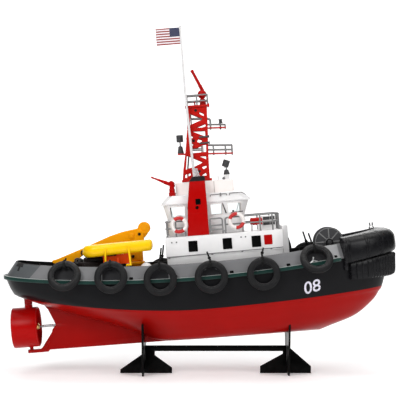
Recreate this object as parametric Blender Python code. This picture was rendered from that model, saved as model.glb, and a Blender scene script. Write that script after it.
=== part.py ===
"""Radio-controlled model harbour tug on its display stand.

Every size below is in millimetres and is scaled to metres when a mesh is made.
The boat is drawn level in its own frame: x forward from the photograph's middle,
y to port, z up from the flat of the keel. An empty called boat then tips it bow up
onto its stand. The stand is drawn in the frame of an empty called display, which
carries everything and puts the middle of the whole box over the world's origin.
"""
import math

import bmesh
import bpy
from mathutils import Euler, Matrix, Vector

MM = 0.001
GAP = 0.35                      # clearance left between pieces that touch

# How the boat sits on its stand
PITCH = math.radians(4.3)       # bow up
KEEL_HEIGHT = 57.4              # keel above the floor at x = 0
BOAT_SHIFT = -1.1               # keel's x = 0 from the middle of the view
DISPLAY_SHIFT = 1.9             # brings the middle of the whole box to x = 0

# Hull and deck edge
HALF_BEAM = 72.0
STERN_X = -313.0
STEM_X = 320.0
SHEER_MID = 103.0               # deck edge above the keel amidships
SHEER_RISE = 23.5               # extra height of the deck edge at the ends
SHEER_SPAN = 313.0
AFT_ROUND = 118.0               # length over which the stern rounds in
FORE_ROUND = 210.0              # length over which the bow rounds in
AFT_POWER = 2.6
FORE_POWER = 2.2
DECK_THICK = 2.2
BULWARK_HIGH = 24.5
BULWARK_THICK = 2.2
LEAN_MID = 5.0                  # how far the bulwark leans inboard amidships
LEAN_GROWTH = 0.00018           # extra lean for each square millimetre of x

# Rub rail
RAIL_OUT = 3.2
RAIL_LOW = -3.0
RAIL_TOP = 3.4
RAIL_FORE_X = 235.0

# Propeller, shaft and steering nozzle
SHAFT_Z = 39.4
SHAFT_R = 2.0
STOCK_X = -277.0
NOZZLE_AFT = -304.0
NOZZLE_FORE = -261.5
NOZZLE_R = 33.0
NOZZLE_BORE = 29.6
PROP_R = 27.6

# Tyre fenders
TYRE_R = 26.5
TYRE_HOLE = 17.0
TYRE_THICK = 10.0

# Superstructure
HOUSE_HALF = 49.0
HOUSE_TOP = 170.5
LEDGE_Z = 139.0
WHEEL_HALF = 27.0
WHEEL_TOP_HALF = 31.0
ROOF_HALF = 34.0
ROOF_LOW = 222.6
ROOF_TOP = 237.0
CASING_TOP = 258.0
FUNNEL_INNER = 36.0

# Crane
CRANE_X = -94.5
CRANE_Y = 14.0
LUFF_X = -86.2
LUFF_Z = 178.5

# Winch
WINCH_X = 224.0
WINCH_Z = 143.4
DRUM_R = 24.0

# Mast tower
TOWER_LOW = CASING_TOP + GAP
TOWER_HIGH = 381.0

# Fire monitors: the axis of each swivel and its lift axis
TOP_MONITOR = (34.6, 0.0)
TOP_MONITOR_Z = 401.0
ROOF_MONITOR = (-26.5, 26.5)
ROOF_MONITOR_Z = 257.5


def clear_scene():
    for item in list(bpy.data.objects):
        bpy.data.objects.remove(item, do_unlink=True)


# Shapes of the deck line
def sheer(x):
    return SHEER_MID + SHEER_RISE * (x / SHEER_SPAN) ** 2


def lean(x):
    return LEAN_MID + LEAN_GROWTH * x * x


def end_curve(reach, power, steps):
    """Quarter of a superellipse: (along, across) from the straight side to the tip."""
    points = []
    for i in range(steps + 1):
        angle = 0.5 * math.pi * i / steps
        along = math.sin(angle) ** (2 / power) if i else 0.0
        across = math.cos(angle) ** (2 / power) if i < steps else 0.0
        points.append((reach * along, across))
    return points


def waterline(x_aft, x_fore, half, aft_round, fore_round, aft_power, fore_power, steps=(6, 6, 7)):
    """One side of a waterline as (x, y) from the stern's tip to the stem's tip.

    The steps are those of the stern's curve, the straight side and the bow's curve.
    """
    aft = [(x_aft + aft_round - a, half * c) for a, c in end_curve(aft_round, aft_power, steps[0])]
    fore = [(x_fore - fore_round + a, half * c) for a, c in end_curve(fore_round, fore_power, steps[2])]
    low, high = aft[0][0], fore[0][0]
    middle = [(low + (high - low) * i / steps[1], half) for i in range(1, steps[1])]
    return aft[::-1] + middle + fore


def plan_line(steps=(6, 6, 7)):
    return waterline(STERN_X, STEM_X, HALF_BEAM, AFT_ROUND, FORE_ROUND, AFT_POWER, FORE_POWER, steps)


def half_at(x):
    """Half breadth of the deck edge at x."""
    if x < STERN_X + AFT_ROUND:
        t, power = (STERN_X + AFT_ROUND - x) / AFT_ROUND, AFT_POWER
    elif x > STEM_X - FORE_ROUND:
        t, power = (x - STEM_X + FORE_ROUND) / FORE_ROUND, FORE_POWER
    else:
        return HALF_BEAM
    return HALF_BEAM * max(0.0, 1 - min(t, 1.0) ** power) ** (1 / power)


def with_normals(line):
    """Adds the outward unit normal (nx, ny) to each point of one side's plan line."""
    last = len(line) - 1
    result = []
    for i, (x, y) in enumerate(line):
        ax, ay = line[max(i - 1, 0)]
        bx, by = line[min(i + 1, last)]
        dx, dy = bx - ax, by - ay
        size = math.hypot(dx, dy)
        nx, ny = -dy / size, dx / size
        if i == 0:
            nx, ny = -1.0, 0.0
        if i == last:
            nx, ny = 1.0, 0.0
        result.append((x, y, nx, ny))
    return result


def whole_ring(side):
    """One side's (x, y, z) points, from stern to bow at y >= 0, closed round by the other side."""
    back = [(x, -y, z) for x, y, z in side[-2:0:-1]]
    return side + back


def decked(side_rows):
    """A closed body from rows of one side's points, each row a level of the whole boat.

    The first and the last row are closed by strips from side to side. The quads are cut
    into triangles here, alike on both sides, so that a swollen copy keeps its distance.
    """
    whole = [whole_ring(side) for side in side_rows]
    size, sides = len(whole[0]), len(side_rows[0])
    faces = []
    for r in range(len(whole) - 1):
        low, high = r * size, (r + 1) * size
        for i in range(size):
            j = (i + 1) % size
            a, b, c, d = low + i, low + j, high + j, high + i
            faces += [[a, b, c], [a, c, d]] if i < sides - 1 else [[a, b, d], [b, c, d]]
    for base in (0, (len(whole) - 1) * size):
        for i in range(sides - 1):
            a, b = base + i, base + i + 1
            c, d = base + (size - i - 1) % size, base + (size - i) % size
            if d == a:
                faces.append([a, b, c])
            elif b == c:
                faces.append([a, b, d])
            else:
                faces.append([a, b, c, d])
    return solid([p for ring in whole for p in ring], faces)


# Mesh building
def solid(verts, faces):
    """A temporary object from millimetre points, with its faces turned outwards."""
    mesh = bpy.data.meshes.new("solid")
    bm = bmesh.new()
    points = [bm.verts.new(Vector(v) * MM) for v in verts]
    for face in faces:
        bm.faces.new([points[i] for i in face])
    bmesh.ops.remove_doubles(bm, verts=bm.verts, dist=0.00001)
    bmesh.ops.recalc_face_normals(bm, faces=bm.faces)
    bm.to_mesh(mesh)
    bm.free()
    item = bpy.data.objects.new("solid", mesh)
    bpy.context.scene.collection.objects.link(item)
    return item


def loft(rings, caps=True):
    """Closed rings of equal length joined by quads; flat ends are single faces."""
    size = len(rings[0])
    verts = [p for ring in rings for p in ring]
    faces = []
    for r in range(len(rings) - 1):
        for i in range(size):
            j = (i + 1) % size
            faces.append([r * size + i, r * size + j, (r + 1) * size + j, (r + 1) * size + i])
    if caps:
        faces.append(list(range(size))[::-1])
        faces.append([(len(rings) - 1) * size + i for i in range(size)])
    return solid(verts, faces)


def prism(outline, axis, low, high):
    """A flat outline pushed along one axis; its two columns are the other axes in order."""
    def place(p, depth):
        if axis == "x":
            return (depth, p[0], p[1])
        if axis == "y":
            return (p[0], depth, p[1])
        return (p[0], p[1], depth)
    return loft([[place(p, low) for p in outline], [place(p, high) for p in outline]])


def box(x, y, z):
    """A block from its (low, high) along each axis."""
    return prism([(x[0], y[0]), (x[1], y[0]), (x[1], y[1]), (x[0], y[1])], "z", z[0], z[1])


def disc(centre, radius, axis, low, high, sides=16, radius_high=None):
    """A cylinder or cone; centre is on the two axes across it."""
    far = radius if radius_high is None else radius_high
    rings = []
    for depth, r in ((low, radius), (high, far)):
        ring = []
        for i in range(sides):
            a = 2 * math.pi * (i + 0.5) / sides
            p = (centre[0] + r * math.cos(a), centre[1] + r * math.sin(a))
            if axis == "x":
                ring.append((depth, p[0], p[1]))
            elif axis == "y":
                ring.append((p[0], depth, p[1]))
            else:
                ring.append((p[0], p[1], depth))
        rings.append(ring)
    return loft(rings)


def turned(profile, axis, centre, steps=24):
    """A (along, radius) profile turned round an axis line through centre.

    A profile that starts and ends on the axis closes there; any other closes on itself.
    """
    def place(along, r, a):
        c, s = r * math.cos(a), r * math.sin(a)
        if axis == "x":
            return (centre[0] + along, centre[1] + c, centre[2] + s)
        if axis == "y":
            return (centre[0] + c, centre[1] + along, centre[2] + s)
        return (centre[0] + c, centre[1] + s, centre[2] + along)

    verts, rows = [], []
    for along, r in profile:
        count = steps if r else 1
        rows.append([len(verts) + i % count for i in range(steps)])
        verts += [place(along, r, 2 * math.pi * i / steps) for i in range(count)]
    pairs = list(zip(rows, rows[1:]))
    if profile[0][1]:
        pairs.append((rows[-1], rows[0]))
    faces = []
    for low, high in pairs:
        for i in range(steps):
            j = (i + 1) % steps
            corners = [low[i], low[j], high[j], high[i]]
            faces.append([c for k, c in enumerate(corners) if c not in corners[:k]])
    return solid(verts, faces)


def tube(points, radius, sides=6, radius_end=None):
    """A round bar along a bent line of points, mitred at its bends."""
    path = [Vector(p) for p in points]
    last = len(path) - 1
    end = radius if radius_end is None else radius_end
    ways = [(path[i + 1] - path[i]).normalized() for i in range(last)]
    guess = Vector((0, 0, 1)) if abs(ways[0].z) < 0.9 else Vector((1, 0, 0))
    side = ways[0].cross(guess).normalized()
    rings = []
    for i, p in enumerate(path):
        come, go = ways[max(i - 1, 0)], ways[min(i, last - 1)]
        plane = (come + go).normalized()
        other = come.cross(side)
        r = radius + (end - radius) * i / last
        ring = []
        for k in range(sides):
            a = 2 * math.pi * (k + 0.5) / sides
            out = side * (r * math.cos(a)) + other * (r * math.sin(a))
            ring.append(tuple(p + out - come * (out.dot(plane) / come.dot(plane))))
        rings.append(ring)
        side = come.rotation_difference(go) @ side
    return loft(rings)


def strip(start, end, width, depth):
    """A flat bar between two (x, z) points, as deep along y as (low, high)."""
    a, b = Vector(start), Vector(end)
    across = (b - a).normalized().orthogonal() * (width / 2)
    outline = [tuple(a + across), tuple(b + across), tuple(b - across), tuple(a - across)]
    return prism(outline, "y", depth[0], depth[1])


def settle(item):
    """Replaces an object's mesh by what its modifiers make of it."""
    graph = bpy.context.evaluated_depsgraph_get()
    result = bpy.data.meshes.new_from_object(item.evaluated_get(graph))
    old = item.data
    item.modifiers.clear()
    item.data = result
    bpy.data.meshes.remove(old)
    return item


def boolean(item, others, operation):
    group = bpy.data.collections.new("cutters")
    bpy.context.scene.collection.children.link(group)
    for other in others:
        group.objects.link(other)
    change = item.modifiers.new("change", "BOOLEAN")
    change.operation = operation
    change.operand_type = "COLLECTION"
    change.collection = group
    settle(item)
    for other in others:
        mesh = other.data
        bpy.data.objects.remove(other, do_unlink=True)
        bpy.data.meshes.remove(mesh)
    bpy.data.collections.remove(group)
    return item


def joined(items):
    return boolean(items[0], items[1:], "UNION") if len(items) > 1 else items[0]


def cut(item, cutters):
    return boolean(item, cutters, "DIFFERENCE")


def moved(item, offset=(0, 0, 0), turn=(0, 0, 0)):
    """Turns a temporary object about the frame's origin, then shifts it, in millimetres."""
    item.data.transform(Matrix.Translation(Vector(offset) * MM) @ Euler(turn).to_matrix().to_4x4())
    return item


def mirrored(item):
    """The same temporary object on the other side."""
    item.data.transform(Matrix.Diagonal((1, -1, 1, 1)))
    item.data.flip_normals()
    return item


MATERIALS = {
    # name: (red, green, blue, roughness, metallic)
    "hull_paint": (0.36, 0.015, 0.01, 0.35, 0.0),
    "bulwark_grey": (0.13, 0.13, 0.135, 0.4, 0.0),
    "rail_green": (0.012, 0.05, 0.042, 0.4, 0.0),
    "rubber": (0.012, 0.012, 0.013, 0.75, 0.0),
    "white_plastic": (0.82, 0.82, 0.8, 0.4, 0.0),
    "red_plastic": (0.55, 0.01, 0.008, 0.38, 0.0),
    "crane_yellow": (0.9, 0.42, 0.01, 0.4, 0.0),
    "boat_yellow": (0.9, 0.62, 0.02, 0.35, 0.0),
    "orange_red": (0.75, 0.1, 0.02, 0.4, 0.0),
    "dark_metal": (0.05, 0.05, 0.052, 0.45, 0.4),
    "rail_grey": (0.3, 0.3, 0.29, 0.4, 0.3),
    "glass": (0.75, 0.8, 0.8, 0.1, 0.0),
    "brass": (0.6, 0.4, 0.16, 0.3, 1.0),
    "steel": (0.55, 0.55, 0.56, 0.3, 1.0),
    "stand_black": (0.01, 0.01, 0.01, 0.45, 0.0),
    "buoy": (0.8, 0.75, 0.72, 0.45, 0.0),
    "flag_cloth": (0.7, 0.68, 0.68, 0.8, 0.0),
}


def material(name):
    found = bpy.data.materials.get(name)
    if found:
        return found
    red, green, blue, roughness, metallic = MATERIALS[name]
    made = bpy.data.materials.new(name)
    made.use_nodes = True
    shader = made.node_tree.nodes["Principled BSDF"]
    shader.inputs["Base Color"].default_value = (red, green, blue, 1.0)
    shader.inputs["Roughness"].default_value = roughness
    shader.inputs["Metallic"].default_value = metallic
    made.diffuse_color = (red, green, blue, 1.0)
    return made


def finish(item, name, slot, parent=None, origin=(0, 0, 0)):
    """Names a solid, moves its origin to a point in its frame and parents it there."""
    point = Vector(origin) * MM
    item.data.transform(Matrix.Translation(-point))
    item.location = point
    item.name = name
    item.data.name = name
    item.data.materials.clear()
    item.data.materials.append(material(slot))
    item.data.shade_smooth()
    item.data.set_sharp_from_angle(angle=math.radians(35))
    if parent:
        item.parent = parent
    return item


# Hull
HULL_ROWS = (
    # z at mid, rise aft, rise fore, power of the rise, x aft, x fore, half breadth,
    # length rounded aft, length rounded fore, power aft, power fore
    (0.0, 0.0, 0.0, 2.0, -58.0, 200.0, 7.0, 50.0, 60.0, 2.0, 2.0),
    (5.0, 2.0, 3.0, 2.0, -76.0, 220.0, 46.0, 100.0, 130.0, 1.7, 1.6),
    (16.0, 10.0, 6.0, 2.0, -100.0, 250.0, 62.0, 150.0, 190.0, 1.6, 1.6),
    (32.0, 28.0, 12.0, 2.0, -152.0, 284.0, 68.5, 200.0, 220.0, 1.7, 1.7),
    (46.0, 32.0, 12.0, 1.6, -226.0, 297.0, 70.5, 240.0, 225.0, 1.9, 1.8),
    (58.0, 34.5, 8.0, 1.4, -290.0, 304.5, 71.5, 220.0, 225.0, 2.2, 1.9),
    (80.0, 24.0, 14.0, 2.0, -304.0, 314.0, 72.0, 140.0, 215.0, 2.5, 2.1),
    (SHEER_MID, SHEER_RISE, SHEER_RISE, 2.0, STERN_X, STEM_X, HALF_BEAM,
     AFT_ROUND, FORE_ROUND, AFT_POWER, FORE_POWER),
)


def hull_body(grow=0.0):
    """The canoe body without its skeg, swollen by grow for use as a cutter."""
    rings = []
    for low, aft, fore, power, x_aft, x_fore, half, r_aft, r_fore, n_aft, n_fore in HULL_ROWS:
        side = waterline(x_aft - grow, x_fore + grow, half + grow, r_aft, r_fore, n_aft, n_fore)
        points = []
        for x, y in side:
            rise = (aft if x < 0 else fore) * (abs(x) / SHEER_SPAN) ** power
            points.append((x, y, low + rise))
        rings.append(points)
    rings[0] = [(x, y, z - grow) for x, y, z in rings[0]]
    if grow:
        rings.append([(x, y, z + 60) for x, y, z in rings[-1]])
    return decked(rings)


SKEG_OUTLINE = (
    # x, z of the keel fin, its heel arm and the sternpost
    (-283.0, -3.2), (-249.5, -3.2), (-246.5, 0.0), (-40.0, 0.0), (-40.0, 14.0), (-120.0, 46.0),
    (-200.0, 76.0), (-248.0, 82.0), (-251.0, 74.0), (-245.0, 66.0), (-234.2, 40.5),
    (-240.2, 33.0), (-241.5, 28.5), (-260.5, 2.2), (-283.0, 2.2),
)


def skeg(half=3.6):
    return prism(SKEG_OUTLINE, "y", -half, half)


def hull():
    trunk = disc((STOCK_X, 0.0), 6.5, "z", 76.6, 92.0)
    boss = disc((0.0, SHAFT_Z), 4.6, "x", -234.4, -150.0, sides=12)
    bar = box((-45.0, 200.0), (-3.6, 3.6), (0.0, 8.0))
    body = joined([hull_body(), skeg(), trunk, boss, bar])
    bore = disc((0.0, SHAFT_Z), SHAFT_R + 0.45, "x", -245.0, -214.0, sides=12)
    return cut(body, [bore])


def deck_and_bulwark():
    """The deck plate with the leaning bulwark round it, as one tray."""
    line = with_normals(plan_line())
    outer_low, outer_top, inner_top, inner_low = [], [], [], []
    for x, y, nx, ny in line:
        z = sheer(x)
        top = lean(x)
        foot = top * DECK_THICK / BULWARK_HIGH
        outer_low.append((x, y, z + GAP))
        outer_top.append((x - nx * top, max(y - ny * top, 0.0), z + BULWARK_HIGH))
        reach = top + BULWARK_THICK
        inner_top.append((x - nx * reach, max(y - ny * reach, 0.0), z + BULWARK_HIGH))
        reach = foot + BULWARK_THICK
        inner_low.append((x - nx * reach, max(y - ny * reach, 0.0), z + DECK_THICK))
    tray = decked([outer_low, outer_top, inner_top, inner_low])
    dome = turned([(0.0, 0.0), (0.0, 9.0), (16.0, 9.0), (21.0, 8.0), (25.0, 5.0), (26.5, 0.0)],
                  "z", (-76.0, -52.0, sheer(-76.0) + 1.0), steps=12)
    return joined([tray, dome])


def sweep_side(section, x_end):
    """Sweeps a section of (out, up) points along the deck edge, for x past x_end, both sides.

    The section is a function of x, so that it can lean and swell along the way.
    """
    side = [p for p in with_normals(plan_line((6, 6, 9))) if p[0] > x_end]
    y_end = half_at(x_end)
    first = side[0]
    side.insert(0, (x_end, y_end, first[2], first[3]))
    both = [(x, -y, nx, -ny) for x, y, nx, ny in side] + side[-2::-1]
    rings = []
    for x, y, nx, ny in both:
        z = sheer(x)
        rings.append([(x + nx * out, y + ny * out, z + up) for out, up in section(x)])
    return loft(rings)


def rub_rail():
    """The green strip along both sides and round the stern."""
    section = ((GAP, RAIL_LOW), (RAIL_OUT, RAIL_LOW), (RAIL_OUT, RAIL_TOP), (GAP, RAIL_TOP))
    side = [p for p in with_normals(plan_line()) if p[0] < RAIL_FORE_X]
    last = side[-1]
    side.append((RAIL_FORE_X, half_at(RAIL_FORE_X), last[2], last[3]))
    both = side[::-1] + [(x, -y, nx, -ny) for x, y, nx, ny in side[1:]]
    rings = []
    for x, y, nx, ny in both:
        z = sheer(x)
        rings.append([(x + nx * out, y + ny * out, z + up) for out, up in section])
    return loft(rings)


def upper_section(x):
    """Half-round rubber over the bow bulwark; inner face follows the bulwark's lean."""
    swell = min(max((x - 240.0) / 75.0, 0.0), 1.0)
    back = lean(x) - GAP
    out = 7.5 + 6.5 * swell
    top = 26.5 + 4.5 * swell
    foot = -9.5 + 2.0 * swell
    return ((-back * 0.96, BULWARK_HIGH), (-back * 0.8, top), (-back * 0.1, top - 1.5),
            (out * 0.75, top - 9.0), (out, 8.0), (out, 1.0), (out * 0.8, foot + 2.0),
            (out * 0.35, foot), (GAP, foot), (GAP, GAP))


def lower_section(x):
    swell = min(max((x - 250.0) / 65.0, 0.0), 1.0)
    out = 5.0 + 7.0 * swell
    top = -10.5 + 2.2 * swell
    foot = -36.0 - 9.0 * swell
    return ((-30.0, top), (out * 0.6, top), (out, top - 3.0), (out - 2.5 * swell, foot + 6.0),
            (out - 7.0 * swell, foot), (-30.0, foot))


def bow_fenders():
    upper = sweep_side(upper_section, 241.0)
    upper = cut(upper, [hull_body(GAP), bulwark_cutter()])
    lower = sweep_side(lower_section, 250.0)
    lower = cut(lower, [hull_body(GAP)])
    return upper, lower


def bulwark_cutter():
    """The room that the leaning bulwark takes, with its clearance."""
    low, top = [], []
    for x, y, nx, ny in with_normals(plan_line()):
        z = sheer(x)
        low.append((x + nx * GAP, y + ny * GAP if y > 0 else 0.0, z - 1.0))
        reach = lean(x) - GAP
        top.append((x - nx * reach, max(y - ny * reach, 0.0), z + BULWARK_HIGH + GAP))
    return loft([whole_ring(low), whole_ring(top)])


# Propeller and nozzle
BLADES = 4
BLADE_ROWS = (
    # radius, half chord, pitch in degrees, half thickness
    (3.4, 3.0, 60.0, 1.2),
    (14.0, 7.0, 48.0, 0.9),
    (22.0, 8.0, 38.0, 0.7),
    (PROP_R, 5.0, 30.0, 0.5),
)


def propeller():
    hub = turned([(-12.0, 0.0), (-12.0, 2.6), (-7.0, 5.0), (13.0, 5.0), (15.5, 3.4), (15.5, 0.0)],
                 "x", (STOCK_X, 0.0, SHAFT_Z), steps=12)
    blades = []
    for i in range(BLADES):
        rings = []
        for z, chord, pitch, thick in BLADE_ROWS:
            c, s = math.cos(math.radians(pitch)), math.sin(math.radians(pitch))
            corners = ((-chord, -thick), (chord, -thick), (chord, thick), (-chord, thick))
            rings.append([(a * c - b * s, a * s + b * c, z) for a, b in corners])
        blade = moved(loft(rings), turn=((i + 0.12) * 2 * math.pi / BLADES, 0, 0))
        blades.append(moved(blade, (STOCK_X, 0.0, SHAFT_Z)))
    return joined([hub] + blades)


def propeller_shaft():
    start = STOCK_X + 15.5 + GAP
    return disc((0.0, SHAFT_Z), SHAFT_R, "x", start, -215.0, sides=12)


def steering_nozzle():
    middle = 0.5 * (NOZZLE_AFT + NOZZLE_FORE)
    a, f = NOZZLE_AFT - middle, NOZZLE_FORE - middle
    ring = turned([(f, NOZZLE_R - 1.6), (f - 4.0, NOZZLE_R - 0.4), (a, NOZZLE_R), (a, NOZZLE_R - 1.6),
                   (0.0, NOZZLE_BORE), (f - 4.0, NOZZLE_BORE + 0.2), (f - 0.6, NOZZLE_R - 2.6)],
                  "x", (middle, 0.0, SHAFT_Z), steps=32)
    neck = disc((STOCK_X, 0.0), 6.5, "z", SHAFT_Z + NOZZLE_BORE + 1.2, 76.6 - GAP)
    pintle = disc((STOCK_X, 0.0), 3.0, "z", 2.2 + GAP, SHAFT_Z - NOZZLE_BORE - 1.2, sides=10)
    return joined([ring, neck, pintle])


# Tyre fenders
TYRES = (
    # x, height of the centre, lean of its top inboard in degrees, tip of its lashing (x, z)
    (-205.5, 123.3, 31.0, -203.0, 150.5),
    (-132.0, 115.7, 16.0, -136.0, 140.0),
    (-54.0, 106.8, 3.0, -49.5, 155.5),
    (27.0, 104.6, 12.0, 23.0, 144.0),
    (110.0, 103.6, 6.0, 113.5, 143.5),
    (195.0, 120.4, 35.0, 185.5, 161.0),
)


RAIL_CLIMB = 0.35


def tyre(x, height, lean_deg, tip_x, tip_z):
    """One tyre against the rub rail, with the lashing that goes over the bulwark."""
    step = 1.0
    slope = (half_at(x + step) - half_at(x - step)) / (2 * step)
    yaw = math.atan(slope)
    normal = Vector((-math.sin(yaw), math.cos(yaw), 0.0))
    tilt = math.radians(lean_deg)
    face = normal * math.cos(tilt) + Vector((0, 0, math.sin(tilt)))
    up = Vector((0, 0, math.cos(tilt))) - normal * math.sin(tilt)
    # The rail climbs under the tyre's width and curves away from it, so a part of the climb counts
    climb_along = RAIL_CLIMB * (sheer(abs(x) + TYRE_R) - sheer(x))
    edge = (Vector((x, half_at(x), sheer(x) + RAIL_TOP)) + normal * RAIL_OUT
            + face * (GAP + 0.2 + climb_along * math.sin(tilt)))
    climb = (height - edge.z - face.z * TYRE_THICK / 2) / math.cos(tilt)
    centre = edge + face * (TYRE_THICK / 2) + up * climb
    half = TYRE_THICK / 2
    body = turned([(-half, TYRE_HOLE), (-half, TYRE_R - 3.5), (-half + 3.0, TYRE_R),
                   (half - 3.0, TYRE_R), (half, TYRE_R - 3.5), (half, TYRE_HOLE)],
                  "y", (0, 0, 0), steps=18)
    frame = Matrix((up.cross(face) * -1.0, face, up)).transposed().to_4x4()
    body.data.transform(Matrix.Translation(centre * MM) @ frame)
    rim = Vector((x, half_at(x), sheer(x) + BULWARK_HIGH)) - normal * lean(x)
    start = centre + up * (TYRE_R - 4.0)
    crown = centre + up * (TYRE_R + 2.0)
    over = rim + Vector((0, 0, 3.0)) - normal * 0.5
    tip = Vector((tip_x, rim.y - 3.0, tip_z))
    lashing = tube([start, crown, over, tip], 1.1, sides=5, radius_end=0.7)
    return joined([body, lashing])


def on_deck(item):
    """Trims what stands on the deck to the deck's own curve, with its clearance."""
    xs = [p[0] for p in plan_line()]
    outline = [(x, sheer(x) + DECK_THICK + GAP) for x in xs] + [(xs[-1], 80.0), (xs[0], 80.0)]
    return cut(item, [prism(outline, "y", -90.0, 90.0)])


# Deckhouse
HOUSE_PLAN = (
    # x, half breadth of the deckhouse walls from aft to fore
    (-43.0, HOUSE_HALF), (132.5, HOUSE_HALF), (147.5, 42.0), (148.5, 36.0),
)


def mirror_outline(points):
    """A plan outline from the points of its port side."""
    return [(x, y) for x, y in points] + [(x, -y) for x, y in reversed(points)]


def deckhouse():
    upper = prism(mirror_outline(HOUSE_PLAN), "z", LEDGE_Z, HOUSE_TOP)
    lower_plan = [(x + (1.5 if x < 0 else -1.5), y - 1.2) for x, y in HOUSE_PLAN]
    lower = prism(mirror_outline(lower_plan), "z", 100.0, LEDGE_Z + 1.0)
    front = prism(mirror_outline([(147.0, 36.5), (149.0, 36.5), (157.0, 27.0)]), "z", 100.0, 176.0)
    vent = box((116.5, 139.0), (-16.0, 16.0), (HOUSE_TOP - 1.0, 193.5))
    body = joined([upper, lower, front, vent])
    room = prism(mirror_outline([(-39.0, 45.0), (131.0, 45.0), (141.0, 38.0)]), "z", 99.0, HOUSE_TOP - 3.0)
    return on_deck(cut(body, [room]))


def railing(lines, radius=1.0, sides=4):
    """Bars given as bent lines of points, welded into one rail.

    Their radii differ by a hair, so that no two surfaces coincide where bars cross.
    """
    return joined([tube(line, radius * (1.0 + 0.03 * (i % 5)), sides) for i, line in enumerate(lines)])


RAIL_Z = 197.0
RAIL_MID_Z = 185.0
RAIL_Y = 46.5


def deckhouse_rail_fore():
    """Rails round the fore part of the deckhouse roof, with the two ladder frames."""
    foot = HOUSE_TOP + GAP
    bars = []
    for y in (-RAIL_Y, RAIL_Y):
        bars.append([(31.5, y, foot), (31.5, y, 192.0), (34.0, y, 196.0), (49.0, y, 196.0),
                     (51.5, y, 192.0), (51.5, y, foot)])
        bars.append([(31.5, y, RAIL_MID_Z), (51.5, y, RAIL_MID_Z)])
        bars.append([(51.5, y, 175.0), (56.0, y, 175.0)])
        bars.append([(56.0, y, foot), (56.0, y, 192.0), (60.0, y, 196.0), (132.0, y, RAIL_Z)])
        bars.append([(56.0, y, RAIL_MID_Z), (132.0, y, RAIL_MID_Z)])
        for x in (84.0, 112.0, 132.0):
            bars.append([(x, y, foot), (x, y, RAIL_Z)])
    side = RAIL_Y
    for z in (RAIL_Z, RAIL_MID_Z):
        bars.append([(132.0, -side, z), (144.5, -39.0, z), (144.5, 39.0, z), (132.0, side, z)])
    for y in (-39.0, -13.0, 13.0, 39.0):
        bars.append([(144.5, y, foot), (144.5, y, RAIL_Z)])
    return railing(bars)


def deckhouse_rail_aft():
    """Rails round the aft end of the deckhouse roof."""
    foot = HOUSE_TOP + GAP
    side = RAIL_Y
    bars = []
    for z in (195.5, 184.5):
        bars.append([(-9.0, -side, z), (-38.5, -side, z), (-40.0, -side + 1.5, z),
                     (-40.0, side - 1.5, z), (-38.5, side, z), (-9.0, side, z)])
    for x, y in ((-9.0, -side), (-24.0, -side), (-38.5, -side), (-9.0, side), (-24.0, side),
                 (-38.5, side), (-40.0, 0.0)):
        bars.append([(x, y, foot), (x, y, 195.5)])
    return railing(bars)


def lifebuoy(x, y):
    """A ring lying flat against the rail."""
    profile = [(2.4 * math.cos(a), 9.6 + 2.6 * math.sin(a)) for a in
               [2 * math.pi * (i + 0.5) / 6 for i in range(6)]]
    return turned(profile, "y", (x, y, 189.8), steps=16)


# Wheelhouse
def wheel_ring(x_aft, x_fore, half, z, corner=7.0):
    """A plan ring with cut corners at one height."""
    points = [(x_aft, half - corner), (x_aft + corner, half), (x_fore - corner * 1.6, half),
              (x_fore, half - corner * 1.6)]
    return [(x, y, z) for x, y in points] + [(x, -y, z) for x, y in reversed(points)]


def wheelhouse():
    floor = HOUSE_TOP + GAP
    top = ROOF_LOW - GAP
    outer = loft([wheel_ring(-36.0, 86.0, WHEEL_HALF, floor), wheel_ring(-36.0, 88.0, WHEEL_HALF, 195.0),
                  wheel_ring(-43.0, 97.0, WHEEL_TOP_HALF, top)])
    inner = loft([wheel_ring(-33.0, 83.0, WHEEL_HALF - 2.5, floor + 3.0),
                  wheel_ring(-33.5, 85.5, WHEEL_HALF - 2.5, 195.0),
                  wheel_ring(-40.5, 94.5, WHEEL_TOP_HALF - 2.5, top + 1.0)])
    cutters = [inner]
    for low, high in SIDE_WINDOWS:
        cutters.append(prism([(low, WINDOW_LOW), (high, WINDOW_LOW), (high + 1.0, WINDOW_TOP),
                              (low - 1.0, WINDOW_TOP)], "y", -60.0, 60.0))
    for low, high in FRONT_WINDOWS:
        cutters.append(box((-60.0, 120.0), (low, high), (WINDOW_LOW, WINDOW_TOP)))
    return cut(outer, cutters)


SIDE_WINDOWS = ((-31.0, -8.0), (-3.0, 29.0), (35.0, 53.0), (63.0, 83.0))
FRONT_WINDOWS = ((-17.0, -6.5), (-4.5, 4.5), (6.5, 17.0))
WINDOW_LOW = 201.5
WINDOW_TOP = 219.0


def wheelhouse_glass():
    """The clear liner just inside the window openings, one moulded piece."""
    low, top = WINDOW_LOW - 3.0, ROOF_LOW - GAP
    outer = loft([wheel_ring(-34.0, 86.0, WHEEL_HALF - 2.5, low),
                  wheel_ring(-39.5, 93.5, WHEEL_TOP_HALF - 3.0, top)])
    inner = loft([wheel_ring(-33.0, 85.0, WHEEL_HALF - 3.5, low - 1.0),
                  wheel_ring(-38.5, 92.5, WHEEL_TOP_HALF - 4.0, top + 1.0)])
    return cut(outer, [inner])


def wheelhouse_roof():
    """Roof slab with sloped sides, the casing above it and the stools of the monitors."""
    slab = loft([wheel_ring(-47.0, 101.5, ROOF_HALF, ROOF_LOW),
                 wheel_ring(-46.0, 100.5, ROOF_HALF, ROOF_LOW + 2.0),
                 wheel_ring(-34.0, 88.0, ROOF_HALF - 2.0, ROOF_TOP)])
    casing = box((-20.0, 73.0), (-18.0, 18.0), (ROOF_TOP - 1.0, CASING_TOP))
    post = box((60.0, 70.0), (-5.0, 5.0), (CASING_TOP - 1.0, 265.7))
    return joined([slab, casing, post])


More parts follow.
